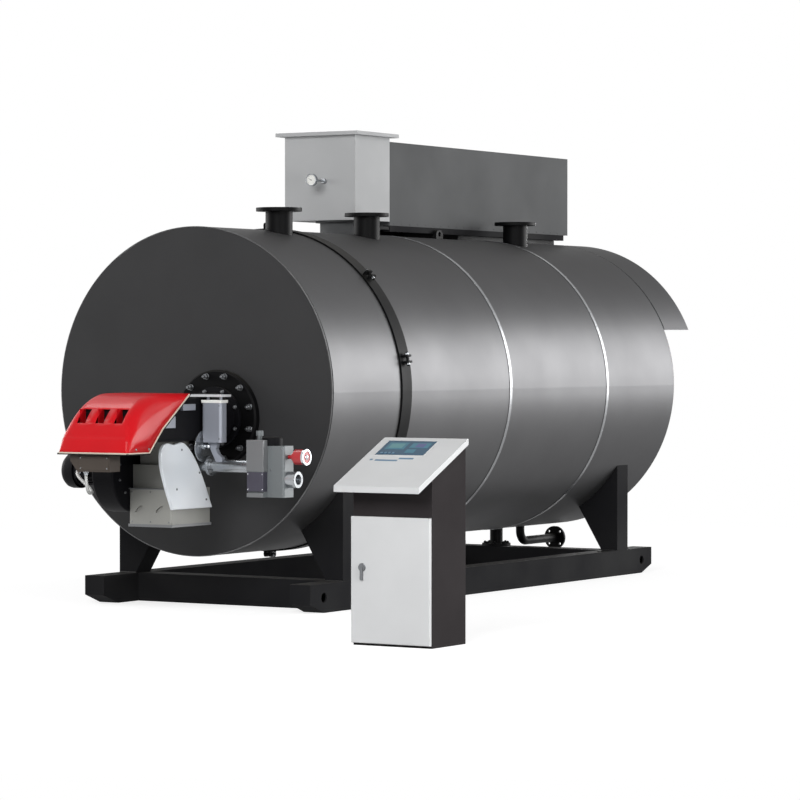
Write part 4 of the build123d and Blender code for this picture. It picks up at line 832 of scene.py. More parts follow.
@dataclass
class Studio:
    """Pale floor, soft lamps, white surroundings and the camera of the photograph.

    Attributes:
        floor: Half the floor's side, in metres.
        camera_at: Place of the camera, in metres.
        camera_tilt: Dip of the camera's view below the horizon, in degrees.
        camera_turn: Turn about the vertical, in degrees.
        lens: Focal length, in millimetres on the sensor's width.
        sensor: Width of the sensor, in millimetres.
        middle: Middle of the plant on the floor, in metres.
        lit: Distances from there between which the floor's shade fades to white, in metres.
        sky_light: Strength of the surroundings as a light.
        floor_light: Grey of the floor as the plant's light sees it.
        floor_pale: Grey of the floor that keeps the shadow.
        floor_glow: Strength and share of the glow that makes the floor look white near the plant.
    """

    floor: float = 60.0
    camera_at: Point = (11.66075, -17.16296, 1.61043)
    camera_tilt: float = 0.9613
    camera_turn: float = 31.395
    lens: float = 150.995
    sensor: float = 36.0
    middle: Point = (0.8, 1.1, 0.0)
    lit: Pair = (4.5, 9.0)
    sky_light: float = 0.16
    floor_light: float = 0.45
    floor_pale: float = 0.9
    floor_glow: Pair = (1.72, 0.4)

    def build(self) -> None:
        """Make the whole studio."""
        self.place_camera()
        self.surround()
        self.lay_floor()
        for lamp in LAMPS:
            lamp.hang()

    def place_camera(self) -> None:
        """Put the camera where the photograph was taken from."""
        camera = bpy.data.cameras.new("photo_camera")
        camera.sensor_width = self.sensor
        camera.lens = self.lens
        camera.clip_end = 300.0
        stand = put_in_scene("photo_camera", camera)
        stand.location = self.camera_at
        stand.rotation_euler = (math.radians(90 - self.camera_tilt), 0.0, math.radians(self.camera_turn))
        bpy.context.scene.camera = stand

    def surround(self) -> None:
        """Make the surroundings white where they are seen, and soft grey as a light."""
        world = bpy.data.worlds.new("white_surroundings")
        bpy.context.scene.world = world
        tree = empty_tree(world)
        white, soft = (add_node(tree, "ShaderNodeBackground",
                                values={"Color": (1, 1, 1, 1), "Strength": strength}).outputs[0]
                       for strength in (1.0, self.sky_light))
        mix = add_node(tree, "ShaderNodeMixShader",
                       links={0: self.seen_rays(tree), 1: soft, 2: white})
        add_node(tree, "ShaderNodeOutputWorld", links={"Surface": mix.outputs[0]})

    @staticmethod
    def seen_rays(tree: Tree) -> Socket:
        """Tell the rays that show the surroundings: straight, mirrored or through glass.

        Args:
            tree: Node tree of the world or the floor.

        Returns:
            One for such a ray, and zero for one that only lights the plant.
        """
        path = add_node(tree, "ShaderNodeLightPath").outputs
        mirrored = add_node(tree, "ShaderNodeMath", {"operation": "MAXIMUM"},
                            links={0: path["Is Camera Ray"], 1: path["Is Glossy Ray"]}).outputs[0]
        return add_node(tree, "ShaderNodeMath", {"operation": "MAXIMUM"},
                        links={0: mirrored, 1: path["Is Transmission Ray"]}).outputs[0]

    def floor_material(self) -> bpy.types.Material:
        """Make a pale floor's material that looks white and keeps the plant's soft shadow.

        Returns:
            The new material.
        """
        material = bpy.data.materials.new("pale_studio_floor")
        tree = empty_tree(material)
        place = add_node(tree, "ShaderNodeTexCoord").outputs["Object"]
        away = add_node(tree, "ShaderNodeVectorMath", {"operation": "DISTANCE"}, values={1: self.middle},
                        links={0: place}).outputs["Value"]
        faded = add_node(tree, "ShaderNodeMapRange", {"interpolation_type": "SMOOTHSTEP"},
                         values={"From Min": self.lit[0], "From Max": self.lit[1]},
                         links={"Value": away}).outputs["Result"]
        matt, pale = (add_node(tree, "ShaderNodeBsdfDiffuse",
                               values={"Color": (grey, grey, grey, 1)}).outputs[0]
                      for grey in (self.floor_light, self.floor_pale))
        strength, share = self.floor_glow
        glow, white = (add_node(tree, "ShaderNodeEmission",
                                values={"Color": (1, 1, 1, 1), "Strength": level}).outputs[0]
                       for level in (strength, 1.0))
        half = add_node(tree, "ShaderNodeMixShader", values={0: share}, links={1: pale, 2: glow}).outputs[0]
        near = add_node(tree, "ShaderNodeMixShader", links={0: faded, 1: half, 2: white}).outputs[0]
        both = add_node(tree, "ShaderNodeMixShader", links={0: self.seen_rays(tree), 1: matt, 2: near})
        add_node(tree, "ShaderNodeOutputMaterial", links={"Surface": both.outputs[0]})
        return material

    def lay_floor(self) -> None:
        """Lay the pale floor under the plant."""
        draft = bmesh.new()
        bmesh.ops.create_grid(draft, x_segments=2, y_segments=2, size=self.floor)
        data = bpy.data.meshes.new("studio_floor")
        draft.to_mesh(data)
        draft.free()
        data.materials.append(self.floor_material())
        put_in_scene("studio_floor", data)


@dataclass
class Drum(Assembly):
    """Clad drum with its clamped band, its seams and its rear cover.

    Attributes:
        band_y: Middle of the band along the drum.
        band_bolt_radius: Distance of the band's bolts from the drum's axis.
        lug_angles: Angles of the band's lug pairs from the crown, in degrees.
        lug_reach: Distance of a lug's outer face from the middle between its pair.
        band_nut: Width across flats and height of the band's nuts.
        seam_ys: Middles of the seam strips along the drum.
        seam_radius: Radius that the rivets are seated at.
        rivet_offset: Distance of a row of rivets from the strip's middle.
        rivets: Number of rivets round one row.
        rivet: Radius and height of a rivet's head.
        cover_face: Rear face of the smokebox cover.
        cover_bolt_radius: Bolt circle of the cover.
        cover_bolts: Number of bolts that the whole circle would have.
        cover_foot: Height of the cover's straight foot.
        foot_bolt_pitch: Distance between the bolts of the foot.
        cover_nut: Width across flats and height of the cover's nuts.
        rim_bead: Inset and radius of the bead round the front plate.
    """

    band_y: float = 376.0
    band_bolt_radius: float = 1029.0
    lug_angles: tuple[float, ...] = (0.0, 46.0, 79.0, 180.0, 281.0, 314.0)
    lug_reach: float = 25.0
    band_nut: Pair = (22.0, 10.0)
    seam_ys: tuple[float, ...] = (1679.0, 3009.0)
    seam_radius: float = 1002.8
    rivet_offset: float = 9.0
    rivets: int = 60
    rivet: Pair = (3.2, 2.2)
    cover_face: float = 4407.0
    cover_bolt_radius: float = 925.0
    cover_bolts: int = 30
    cover_foot: float = 1754.0
    foot_bolt_pitch: float = 148.0
    cover_nut: Pair = (19.0, 9.0)
    rim_bead: Pair = (1.5, 3.0)

    def dress(self) -> None:
        """Build the nuts, the rivets and the bead round the front plate."""
        self.band_nuts()
        rows = [(y + side * self.rivet_offset, turn) for y in self.seam_ys for side in SIDES
                for turn in range(self.rivets)]
        places = [on_drum(360 * turn / self.rivets, y, self.seam_radius) for y, turn in rows]
        self.fasten("seam_rivets", places, self.rivet, Head.ROUND, SEAM_BRIGHT)
        self.cover_nuts()
        bead = Draft()
        inset, radius = self.rim_bead
        bead.torus(facing((0, FRONT_Y + radius, AXIS_Z), REARWARD), DRUM_R - inset, radius, 160, 8)
        self.keep(bead.finish("front_plate_rim", CLADDING))

    def band_nuts(self) -> None:
        """Put a nut on each end of the bolts that draw the band together."""
        places = []
        for angle in self.lug_angles:
            centre = on_drum(angle, self.band_y, self.band_bolt_radius).translation
            along = on_drum(angle + 90, self.band_y, 0).to_3x3() @ Vector(UP)
            places += [facing(centre + along * side * self.lug_reach, along * side) for side in SIDES]
        self.fasten("band_nuts", places, self.band_nut)

    def cover_nuts(self) -> None:
        """Bolt the smokebox cover down along its rim and its foot."""
        spots = []
        for index in range(self.cover_bolts):
            angle = math.radians(360 * index / self.cover_bolts)
            spots.append((self.cover_bolt_radius * math.sin(angle),
                          AXIS_Z + self.cover_bolt_radius * math.cos(angle)))
        spots = [(x, z) for x, z in spots if z > self.cover_foot + 40]
        spots += [(index * self.foot_bolt_pitch, self.cover_foot + 32) for index in range(-5, 6)]
        points = [(x, self.cover_face, z) for x, z in spots]
        self.fasten("cover_bolts", places_at(points, REARWARD), self.cover_nut)


@dataclass
class Skids(Assembly):
    """Skids, legs and the drain under the drum.

    Attributes:
        leg_ys: Middles of the legs along the drum.
        leg_depth: Depth of a leg along the drum.
        inner: Distance of a leg's foot from the middle, on its inner side.
        top: Height of the weld's middle.
        bead: Radius of the weld beads.
        ripples: Number and pitch of a bead's ripples.
        drain: Middle of the drain flange's upper face.
        drain_bolt_circle: Radius of its bolt circle.
        drain_nut: Width across flats and height of its nuts.
    """

    leg_ys: Pair = (0.0, 3551.0)
    leg_depth: float = 156.0
    inner: float = 708.0
    top: float = 176.0
    bead: float = 5.0
    ripples: tuple[int, float] = (16, 8.0)
    drain: Point = (0.0, 3240.0, 216.0)
    drain_bolt_circle: float = 80.0
    drain_nut: Pair = (19.0, 10.0)

    def dress(self) -> None:
        """Build the welds of the legs and the bolts of the drain flange."""
        self.leg_welds()
        self.fasten("drain_bolts", ring_of(8, self.drain_bolt_circle, facing(self.drain, UP), 22.5),
                    self.drain_nut, finish=BLACK_ENAMEL)

    def leg_welds(self) -> None:
        """Run rippled weld beads along the front and the rear of each leg's foot."""
        draft = Draft()
        count, pitch = self.ripples
        radii = [self.bead * (0.85 + 0.15 * (step % 2)) for step in range(count)]
        for y, side, edge in product(self.leg_ys, SIDES, SIDES):
            end = y + edge * self.leg_depth / 2
            path = [Vector((side * (self.inner + step * pitch), end, self.top)) for step in range(count)]
            draft.tube(path, radii, 8)
        self.keep(draft.finish("leg_weld_beads", WELD_BLACK))


@dataclass
class Economiser(Assembly):
    """Flue box with its dial, and the casing behind it.

    Attributes:
        casing_sides: Left and right side of the casing, with the way that each looks.
        casing_ends: First and last screw along the casing.
        screw_z: Height of the casing's screws.
        screws: Number of screws along one side.
        screw: Radius and height of a screw's head.
        dial: Centre of the dial's recessed face.
        dial_radius: Radius of that face.
        dial_steps: Number of steps of the scale, every fourth of them long.
        dial_sweep: Start and sweep of the scale, in degrees.
        hand: Turn of the hand, in degrees.
        stem_nuts: Place along the stem, way, outline and sides of the union nut and the sleeve.
    """

    casing_sides: tuple[tuple[float, Point], ...] = ((-569.0, LEFT), (-20.0, RIGHT))
    casing_ends: Pair = (1894.0, 4264.0)
    screw_z: float = 2410.0
    screws: int = 24
    screw: Pair = (4.5, 2.5)
    dial: Point = (-254.0, 1246.6, 2679.0)
    dial_radius: float = 34.0
    dial_steps: int = 32
    dial_sweep: Pair = (-135.0, 270.0)
    hand: float = 62.0
    stem_nuts: tuple[tuple[float, Point, tuple[Pair, ...], int], ...] = (
        (1401.0, FORWARD, ((0, 0), (17, 0), (17, 12), (14, 14), (0, 14)), 6),
        (1265.0, REARWARD, ((0, 0), (11, 0), (11, 18), (8, 22), (0, 22)), 24))

    def dress(self) -> None:
        """Build the dial, the casing's screws and the nuts of the dial's stem."""
        self.dial_face()
        first, last = self.casing_ends
        ys = [first + (last - first) * index / (self.screws - 1) for index in range(self.screws)]
        places = [facing((x, y, self.screw_z), way) for y in ys for x, way in self.casing_sides]
        self.fasten("casing_screws", places, self.screw, Head.ROUND, DUCT_GREY)
        nuts = Draft()
        for y, way, outline, sides in self.stem_nuts:
            nuts.lathe(outline, facing((self.dial[0], y, self.dial[2]), way), sides)
        self.keep(nuts.finish("dial_stem_nut", LOCK_CHROME))

    def dial_face(self) -> None:
        """Make the dial's white face with its marks and its hand."""
        place = facing(self.dial, FORWARD)
        face = Draft()
        face.lathe([(0, 0), (self.dial_radius, 0), (self.dial_radius, 0.8), (0, 0.8)], place, 48)
        self.keep(face.finish("dial_face", DIAL_WHITE))
        marks = Draft()
        start, sweep = self.dial_sweep
        rim = self.dial_radius - 3
        for index in range(self.dial_steps + 1):
            length, width = (6.0, 0.9) if index % 4 == 0 else (3.5, 0.5)
            marks.box((-width / 2, rim - length, 0.8), (width / 2, rim, 1.1),
                      turned(place, start + sweep * index / self.dial_steps))
        hand = turned(place, self.hand) @ Matrix.Translation((0, 0, 1.3))
        marks.prism([(-1.4, -7), (1.4, -7), (0.4, 25), (-0.4, 25)], hand, 0.5)
        marks.lathe([(0, 0.8), (3.2, 0.8), (3.2, 2.2), (0, 2.4)], place, 16)
        self.keep(marks.finish("dial_marks", MARK_BLACK))


@dataclass
class BurnerDoor(Assembly):
    """Round door that carries the burner, with its studs and the burner's flange.

    Attributes:
        face: Front of the door.
        stud_radius: Circle of the door's studs.
        studs: Number of studs.
        stud: Outline of a stud's end.
        stud_nut: Width across flats and height of the studs' nuts.
        flange_face: Front of the burner's flange.
        flange_radius: Bolt circle of that flange.
        flange_nut: Width across flats and height of its nuts.
    """

    face: float = -505.0
    stud_radius: float = 255.0
    studs: int = 12
    stud: tuple[Pair, ...] = ((8, 0), (8, 42), (6.5, 44), (0, 44))
    stud_nut: Pair = (30.0, 20.0)
    flange_face: float = -527.0
    flange_radius: float = 168.0
    flange_nut: Pair = (19.0, 11.0)

    def dress(self) -> None:
        """Build the studs and the bolts."""
        draft = Draft()
        door = facing((BURNER_X, self.face, BURNER_Z), FORWARD)
        for place in ring_of(self.studs, self.stud_radius, door, 15):
            draft.nut(place, *self.stud_nut)
            draft.lathe(self.stud, place, 14)
        self.keep(draft.finish("door_studs", PLATED_STEEL))
        flange = facing((BURNER_X, self.flange_face, BURNER_Z), FORWARD)
        self.fasten("flange_bolts", ring_of(8, self.flange_radius, flange, 22.5), self.flange_nut)


@dataclass
class Hood(Assembly):
    """Red hood over the fan end: a domed nose over a skirt, with three slots.

    Attributes:
        left: Left side.
        right: Right side.
        nose: Foremost point of the rim.
        rim: Height of the rim.
        crown: Height of the crown.
        rear: Rear end of the crown.
        skirt: Height and lean of the skirt below the crease.
        ledge: Width of the ledge that is folded in at the crease.
        fold: How far the fold under the ledge lies ahead of the crease and below it.
        dome: Run of the dome, and how far its centre lies below the crease.
        steps: Number of steps of the skirt, the dome and the crown.
        foot: Run of the rim before it rises to the knee.
        knee: Run and rise from there to the knee.
        crease_slope: Rise of the side creases towards the rear, in degrees.
        shoulder: Lean of the sides above them, in degrees.
        side_rows: Rows of points below the crease and above it, as shares of the height there.
        slot_xs: Middles of the slots.
        slot_size: Width and height of a slot.
        slot_z: Middle height of the slots.
        slot_edge: Least angle between a slot's edge and the next step of the dome, in radians.
        rib_depth: Depth of the slots' inner walls.
        sheet: Thickness of the sheet.
        corner: Radius of the rounded edge between the dome and the sides.
        rim_corner: The same radius at the rim.
        corner_rise: Height over the rim in which it grows.
        edge_steps: Number of steps round that edge.
        profile_radius: Radius of the sealing profile.
        screw_spots: Places (y, z) of the screws on both sides.
        screw: Radius and height of a screw's head.
    """

    left: float = -85.0
    right: float = 405.0
    nose: float = -1700.0
    rim: float = 983.0
    crown: float = 1321.0
    rear: float = -1075.0
    skirt: Pair = (90.0, 25.0)
    ledge: float = 5.0
    fold: Pair = (0.5, 4.0)
    dome: Pair = (355.0, 100.0)
    steps: tuple[int, int, int] = (4, 26, 5)
    foot: float = 219.0
    knee: Pair = (132.0, 135.0)
    crease_slope: float = 23.5
    shoulder: float = 16.0
    side_rows: tuple[float, float, float] = (0.5, 0.35, 0.7)
    slot_xs: tuple[float, ...] = (30.0, 161.0, 292.0)
    slot_size: Pair = (60.0, 80.0)
    slot_z: float = 1194.0
    slot_edge: float = 0.012
    rib_depth: float = 55.0
    sheet: float = 4.0
    corner: float = 48.0
    rim_corner: float = 16.0
    corner_rise: float = 150.0
    edge_steps: int = 6
    profile_radius: float = 5.0
    screw_spots: tuple[Pair, ...] = ((-1610.0, 1005.0), (-1485.0, 1005.0), (-1290.0, 1150.0))
    screw: Pair = (7.0, 4.0)

    def dress(self) -> None:
        """Build the hood, the walls of its slots, its rim profile and its screws."""
        self.shell()
        self.slot_walls()
        self.rim_profile()
        sides = ((self.right, RIGHT), (self.left, LEFT))
        places = [facing((x, y, z), way) for y, z in self.screw_spots for x, way in sides]
        self.fasten("hood_screws", places, self.screw, Head.ROUND)

    def profile(self) -> list[Pair]:
        """Find points from the rim at the nose over the dome to the rear of the crown.

        Returns:
            Points as (y, z).
        """
        crease = self.rim + self.skirt[0]
        crease_y = self.nose + self.skirt[1]
        run, sink = self.dome
        skirt_steps, dome_steps, crown_steps = self.steps
        height = self.crown - crease + sink
        start = math.asin(sink / height)
        wide = run / math.cos(start)
        tall, lean = self.skirt
        points = [(self.nose + lean * step / skirt_steps, self.rim + tall * step / skirt_steps)
                  for step in range(skirt_steps)]
        points.append((crease_y - self.fold[0], crease - self.fold[1]))
        slots = [math.asin((self.slot_z + side * self.slot_size[1] / 2 - crease + sink) / height)
                 for side in SIDES]
        angles = [start + (math.pi / 2 - start) * step / dome_steps for step in range(dome_steps + 1)]
        angles = sorted(angles + slots)
        angles = [a for a in angles if a in slots or min(abs(a - s) for s in slots) > self.slot_edge]
        points += [(crease_y + run - (wide - self.ledge) * math.cos(a), crease - sink + height * math.sin(a))
                   for a in angles]
        top = crease_y + run
        points += [(top + (self.rear - top) * step / crown_steps, self.crown)
                   for step in range(1, crown_steps + 1)]
        return points

    def underside(self, y: float) -> float:
        """Find the rim at a place along the hood.

        Args:
            y: Place along the hood.

        Returns:
            Height of the rim there.
        """
        foot = self.nose + self.foot
        knee_y = foot + self.knee[0]
        knee_z = self.rim + self.knee[1]
        if y <= foot:
            return self.rim
        if y <= knee_y:
            return self.rim + self.knee[1] * (y - foot) / self.knee[0]
        return knee_z + (self.crown - knee_z) * (y - knee_y) / (self.rear - knee_y)

    def crease(self, y: float) -> float:
        """Return the height of the side crease at a place along the hood."""
        corner_y = self.nose + self.skirt[1]
        return self.rim + self.skirt[0] + math.tan(math.radians(self.crease_slope)) * (y - corner_y)

    def lean(self, y: float, z: float) -> float:
        """Return how far the side leans in at a place on the hood."""
        return max(0.0, z - self.crease(y)) * math.tan(math.radians(self.shoulder))

    def corner_at(self, z: float) -> float:
        """Return the radius of the rounded edge at a height, which tightens towards the rim."""
        share = min(1.0, (z - self.rim) / self.corner_rise)
        return self.rim_corner + (self.corner - self.rim_corner) * share

    def section(self, y: float, z: float, out: Pair) -> list[tuple[Point, Point]]:
        """Find both sides of one cross-section, from the rim over the rounded edge to the top.

        Args:
            y: Place of the top along the hood.
            z: Height of the top there.
            out: Unit vector (y, z) that looks out of the dome there.

        Returns:
            Pairs of points, one on the left side and one on the right.
        """
        corner = self.corner_at(z)
        edge = (y - out[0] * corner, max(z - out[1] * corner, self.underside(y - out[0] * corner)))
        low = self.underside(edge[0])
        fold = min(max(self.crease(edge[0]), low), edge[1])
        below, above, upper = self.side_rows
        rise = edge[1] - fold
        heights = [low, low + (fold - low) * below, fold, fold + rise * above, fold + rise * upper]
        line = [(0.0, edge[0], height) for height in heights]
        for step in range(self.edge_steps + 1):
            angle = math.pi / 2 * step / self.edge_steps
            back = corner * (1 - math.sin(angle))
            at = y - out[0] * back
            line.append((corner * (1 - math.cos(angle)), at, max(z - out[1] * back, self.underside(at))))
        return [((self.left + inset + self.lean(at, height), at, height),
                 (self.right - inset - self.lean(at, height), at, height)) for inset, at, height in line]

    def shell(self) -> None:
        """Loft the hood from cross-sections, open its slots and give it its sheet."""
        draft = Draft()
        columns = sorted(x + side * self.slot_size[0] / 2 for x in self.slot_xs for side in SIDES)
        profile = self.profile()
        rows = []
        for index, (y, z) in enumerate(profile):
            before = profile[max(index - 1, 0)]
            after = profile[min(index + 1, len(profile) - 1)]
            run = Vector((after[0] - before[0], after[1] - before[1])).normalized()
            pairs = self.section(y, z, (-run.y, run.x))
            left, right = zip(*pairs)
            line = [*left, *((x, y, z) for x in columns), *reversed(right)]
            rows.append([draft.mesh.verts.new(point) for point in line])
        for lower, upper in zip(rows, rows[1:]):
            for index in range(len(lower) - 1):
                quad = (lower[index], lower[index + 1], upper[index + 1], upper[index])
                if not self.in_slot(quad):
                    draft.mesh.faces.new(quad)
        bmesh.ops.remove_doubles(draft.mesh, verts=draft.mesh.verts[:], dist=0.05)
        bmesh.ops.dissolve_degenerate(draft.mesh, edges=draft.mesh.edges[:], dist=0.05)
        piece = self.keep(draft.finish("red_hood_shell", HOOD_RED, smooth=50.0))
        sheet = piece.modifiers.new("sheet", "SOLIDIFY")
        sheet.thickness = self.sheet * MM
        sheet.offset = -1.0
        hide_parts("burner_hood")

    def in_slot(self, quad: Sequence[bmesh.types.BMVert]) -> bool:
        """Tell whether a face of the dome lies in one of the slots.

        Args:
            quad: Corners of the face.

        Returns:
            Whether the face is left out.
        """
        middle = sum((vert.co for vert in quad), Vector()) / 4
        beside = min(abs(middle.x - x) for x in self.slot_xs) < self.slot_size[0] / 2
        return beside and abs(middle.z - self.slot_z) < self.slot_size[1] / 2

    def slot_walls(self) -> None:
        """Put a red wall at the left of each slot, and a black plate behind it, which paints in the shade
        inside the slot.
        """
        front = min(self.profile(), key=lambda point: abs(point[1] - self.slot_z))[0] + 8
        rear = front + self.rib_depth
        half = self.slot_size[0] / 2
        foot = self.slot_z - 46
        self.blocks("hood_slot_ribs", HOOD_RED, [
            ((x - half - 6, front, foot), (x - half - 2, rear, self.slot_z + 40)) for x in self.slot_xs])
        # Black plates behind the slots paint in the shade inside them.
        self.blocks("hood_slot_painted_shade_plates", CASING_BLACK, [
            ((x - half - 6, rear, foot), (x + half + 6, rear + 3, self.slot_z + 46)) for x in self.slot_xs])

    def rim_profile(self) -> None:
        """Clip a sealing profile on the lower and the slanting rim of both sides."""
        draft = Draft()
        foot = self.nose + self.foot
        run, rise = self.knee
        rear = [(self.rear - 6, self.crown - 8), (foot + run, self.rim + rise), (foot, self.rim)]
        path = [Vector((self.left, y, z)) for y, z in rear]
        for x, side in ((self.left, -1), (self.right, 1)):
            for step in range(5):
                angle = math.pi / 8 * (step if side < 0 else 4 - step)
                path.append(Vector((x - side * self.rim_corner * (1 - math.cos(angle)),
                                    self.nose + self.rim_corner * (1 - math.sin(angle)), self.rim)))
        path += [Vector((self.right, y, z)) for y, z in reversed(rear)]
        draft.tube(path, [self.profile_radius] * len(path), 10)
        self.keep(draft.finish("hood_rim_profile", RIM_BEIGE))


@dataclass
class FanEnd(Assembly):
    """Fan housing, its motor, the terminal box and the conduit between them.

    Attributes:
        scroll_x: Left and right face of the scroll, with the way that each looks.
        scroll: Centre (y, z) of the scroll.
        scroll_bolt_circle: Radius of the bolt circle of its side covers.
        scroll_nut: Width across flats and height of their nuts.
        cowl_end: Left end of the motor's cowl.
        motor_radius: Radius of the cowl.
        grille: Radii of the grille's rings.
        box_low: Lowest corner of the terminal box.
        box_high: Highest corner of the terminal box.
        box_screw: Radius and height of the head of its screws.
        conduit: Corners of the conduit's route.
        gland: Outline of a cable gland up to its neck.
        ribs: Pitch of the conduit's ribs, and its radius on them and between them.
    """

    scroll_x: tuple[tuple[float, Point], ...] = ((-125.0, LEFT), (25.0, RIGHT))
    scroll: Pair = (-1108.0, 858.0)
    scroll_bolt_circle: float = 150.0
    scroll_nut: Pair = (13.0, 6.0)
    cowl_end: float = -449.0
    motor_radius: float = 107.0
    grille: tuple[float, ...] = (8.0, 16.0, 24.0, 32.0)
    box_low: Point = (-25.0, -1660.0, 875.0)
    box_high: Point = (255.0, -1560.0, 973.0)
    box_screw: Pair = (4.5, 2.5)
    conduit: tuple[Point, ...] = ((50, -1610, 880), (50, -1610, 745), (-14, -1440, 745), (-280, -1290, 850),
                                  (-280, -1235, 858))
    gland: tuple[Pair, ...] = ((0, 0), (17, 0), (17, 9), (13, 11))
    ribs: tuple[float, float, float] = (2.6, 9.6, 8.0)

    def dress(self) -> None:
        """Build the details of the fan end."""
        y, z = self.scroll
        bolts = [place for x, way in self.scroll_x
                 for place in ring_of(10, self.scroll_bolt_circle, facing((x, y, z), way), 18)]
        self.fasten("scroll_bolts", bolts, self.scroll_nut)
        self.motor_cowl()
        self.terminal_details()
        self.ribbed_conduit()

    def motor_cowl(self) -> None:
        """Make the rounded cowl over the motor's cooling fan, with its grille."""
        y, z = self.scroll
        r = self.motor_radius
        outline = [(r, 96), (r, 44), (r - 5, 24), (r - 17, 9), (r - 38, 1), (36, 0), (36, 3), (r - 38, 4),
                   (r - 18, 13), (r - 8, 28), (r - 4, 96), (r, 96)]
        cowl = Draft()
        cowl.lathe(outline, facing((self.cowl_end, y, z), RIGHT), 56)
        self.keep(cowl.finish("motor_cowl", CASING_BLACK))
        grille = Draft()
        for radius in self.grille:
            grille.torus(facing((self.cowl_end + 2, y, z), RIGHT), radius, 1.3, 36, 6)
        for index in range(4):
            bar = turned(facing((self.cowl_end + 2.5, y, z), RIGHT), 45 * index)
            grille.box((-1.2, -33, -1), (1.2, 33, 1), bar)
        self.keep(grille.finish("cowl_grille", PLATED_STEEL))

    def terminal_details(self) -> None:
        """Put the lid with its screws on the terminal box, and a gland on each end of the conduit."""
        x0, y0, z0 = self.box_low
        x1, _, z1 = self.box_high
        lid = ((x0 + 64, y0 - 3, z0 + 10), (x1 - 8, y0 + 1, z1 - 8))
        # The lid takes the same brown-grey, which paints in the hood's shade.
        self.blocks("terminal_box_lid", BOX_PAINTED_SHADE, [lid], 1.5)
        corners = product((x0 + 74, x1 - 18), [y0 - 3], (z0 + 20, z1 - 18))
        self.fasten("terminal_box_screws", places_at(corners, FORWARD), self.box_screw, Head.ROUND)
        start, end = self.conduit[0], self.conduit[-1]
        glands = Draft()
        for place, neck in ((facing((start[0], start[1], z0), DOWN), 22),
                            (facing((end[0], end[1] + 5, end[2]), FORWARD), 20)):
            glands.lathe([*self.gland, (13, neck), (0, neck)], place, 6)
        self.keep(glands.finish("conduit_glands", ZINC))

    def ribbed_conduit(self) -> None:
        """Run the corrugated conduit from the terminal box down, round and to the motor."""
        curve = bpy.data.curves.new("conduit_route", "CURVE")
        curve.dimensions = "3D"
        spline = curve.splines.new("NURBS")
        spline.points.add(len(self.conduit) - 1)
        for point, corner in zip(spline.points, self.conduit):
            point.co = (*corner, 1.0)
        spline.order_u = 3
        spline.use_endpoint_u = True
        spline.resolution_u = 48
        holder = bpy.data.objects.new("conduit_route", curve)
        line = [vert.co.copy() for vert in bpy.data.meshes.new_from_object(holder).vertices]
        bpy.data.objects.remove(holder)
        pitch, crest, root = self.ribs
        path = self.even_steps(line, pitch)
        draft = Draft()
        draft.tube(path, [crest if index % 2 else root for index in range(len(path))], 14)
        piece = self.keep(draft.finish("ribbed_motor_conduit", CONDUIT_GREY, smooth=80.0))
        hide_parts("motor_conduit")

    @staticmethod
    def even_steps(line: Sequence[Vector], step: float) -> list[Vector]:
        """Walk along a line in even steps.

        Args:
            line: Points of the line.
            step: Length of a step.

        Returns:
            Points a step apart.
        """
        walked = [line[0]]
        left = step
        for start, end in zip(line, line[1:]):
            length = (end - start).length
            done = 0.0
            while length - done >= left:
                done += left
                walked.append(start.lerp(end, done / length))
                left = step
            left -= length - done
        return walked


@dataclass
class AirIntake(Assembly):
    """Air box below the burner and its pale cover.

    Attributes:
        ledges: Folded edges of the lower box: its top, its front foot and its right foot.
        box_screws: Columns, front and rows of the lower box's screws.
        box_screw: Radius and height of their heads.
        cover_screws: Places of the cover's screws, on its outer face.
        cover_screw: Radius and height of their heads.
    """

    ledges: tuple[Block, ...] = (((21, -1159, 755), (334, -1120, 762)), ((21, -1159, 536), (334, -1150, 552)),
                                 ((326, -1150, 536), (334, -753, 552)))
    box_screws: Grid = ((45.0, 178.0, 310.0), (-1155.0,), (740.0, 566.0))
    box_screw: Pair = (5.0, 3.0)
    cover_screws: tuple[Point, ...] = ((350, -1130, 760), (350, -1080, 990), (350, -900, 850),
                                       (350, -830, 690))
    cover_screw: Pair = (7.0, 4.0)

    def dress(self) -> None:
        """Build the box's ledges, its screws and the cover's screws."""
        self.blocks("air_box_ledge", COIL_LIGHT, self.ledges, 1.0)
        places = places_at(product(*self.box_screws), FORWARD)
        self.fasten("air_box_screws", places, self.box_screw, Head.ROUND)
        places = places_at(self.cover_screws, RIGHT)
        self.fasten("intake_cover_screws", places, self.cover_screw, Head.ROUND)


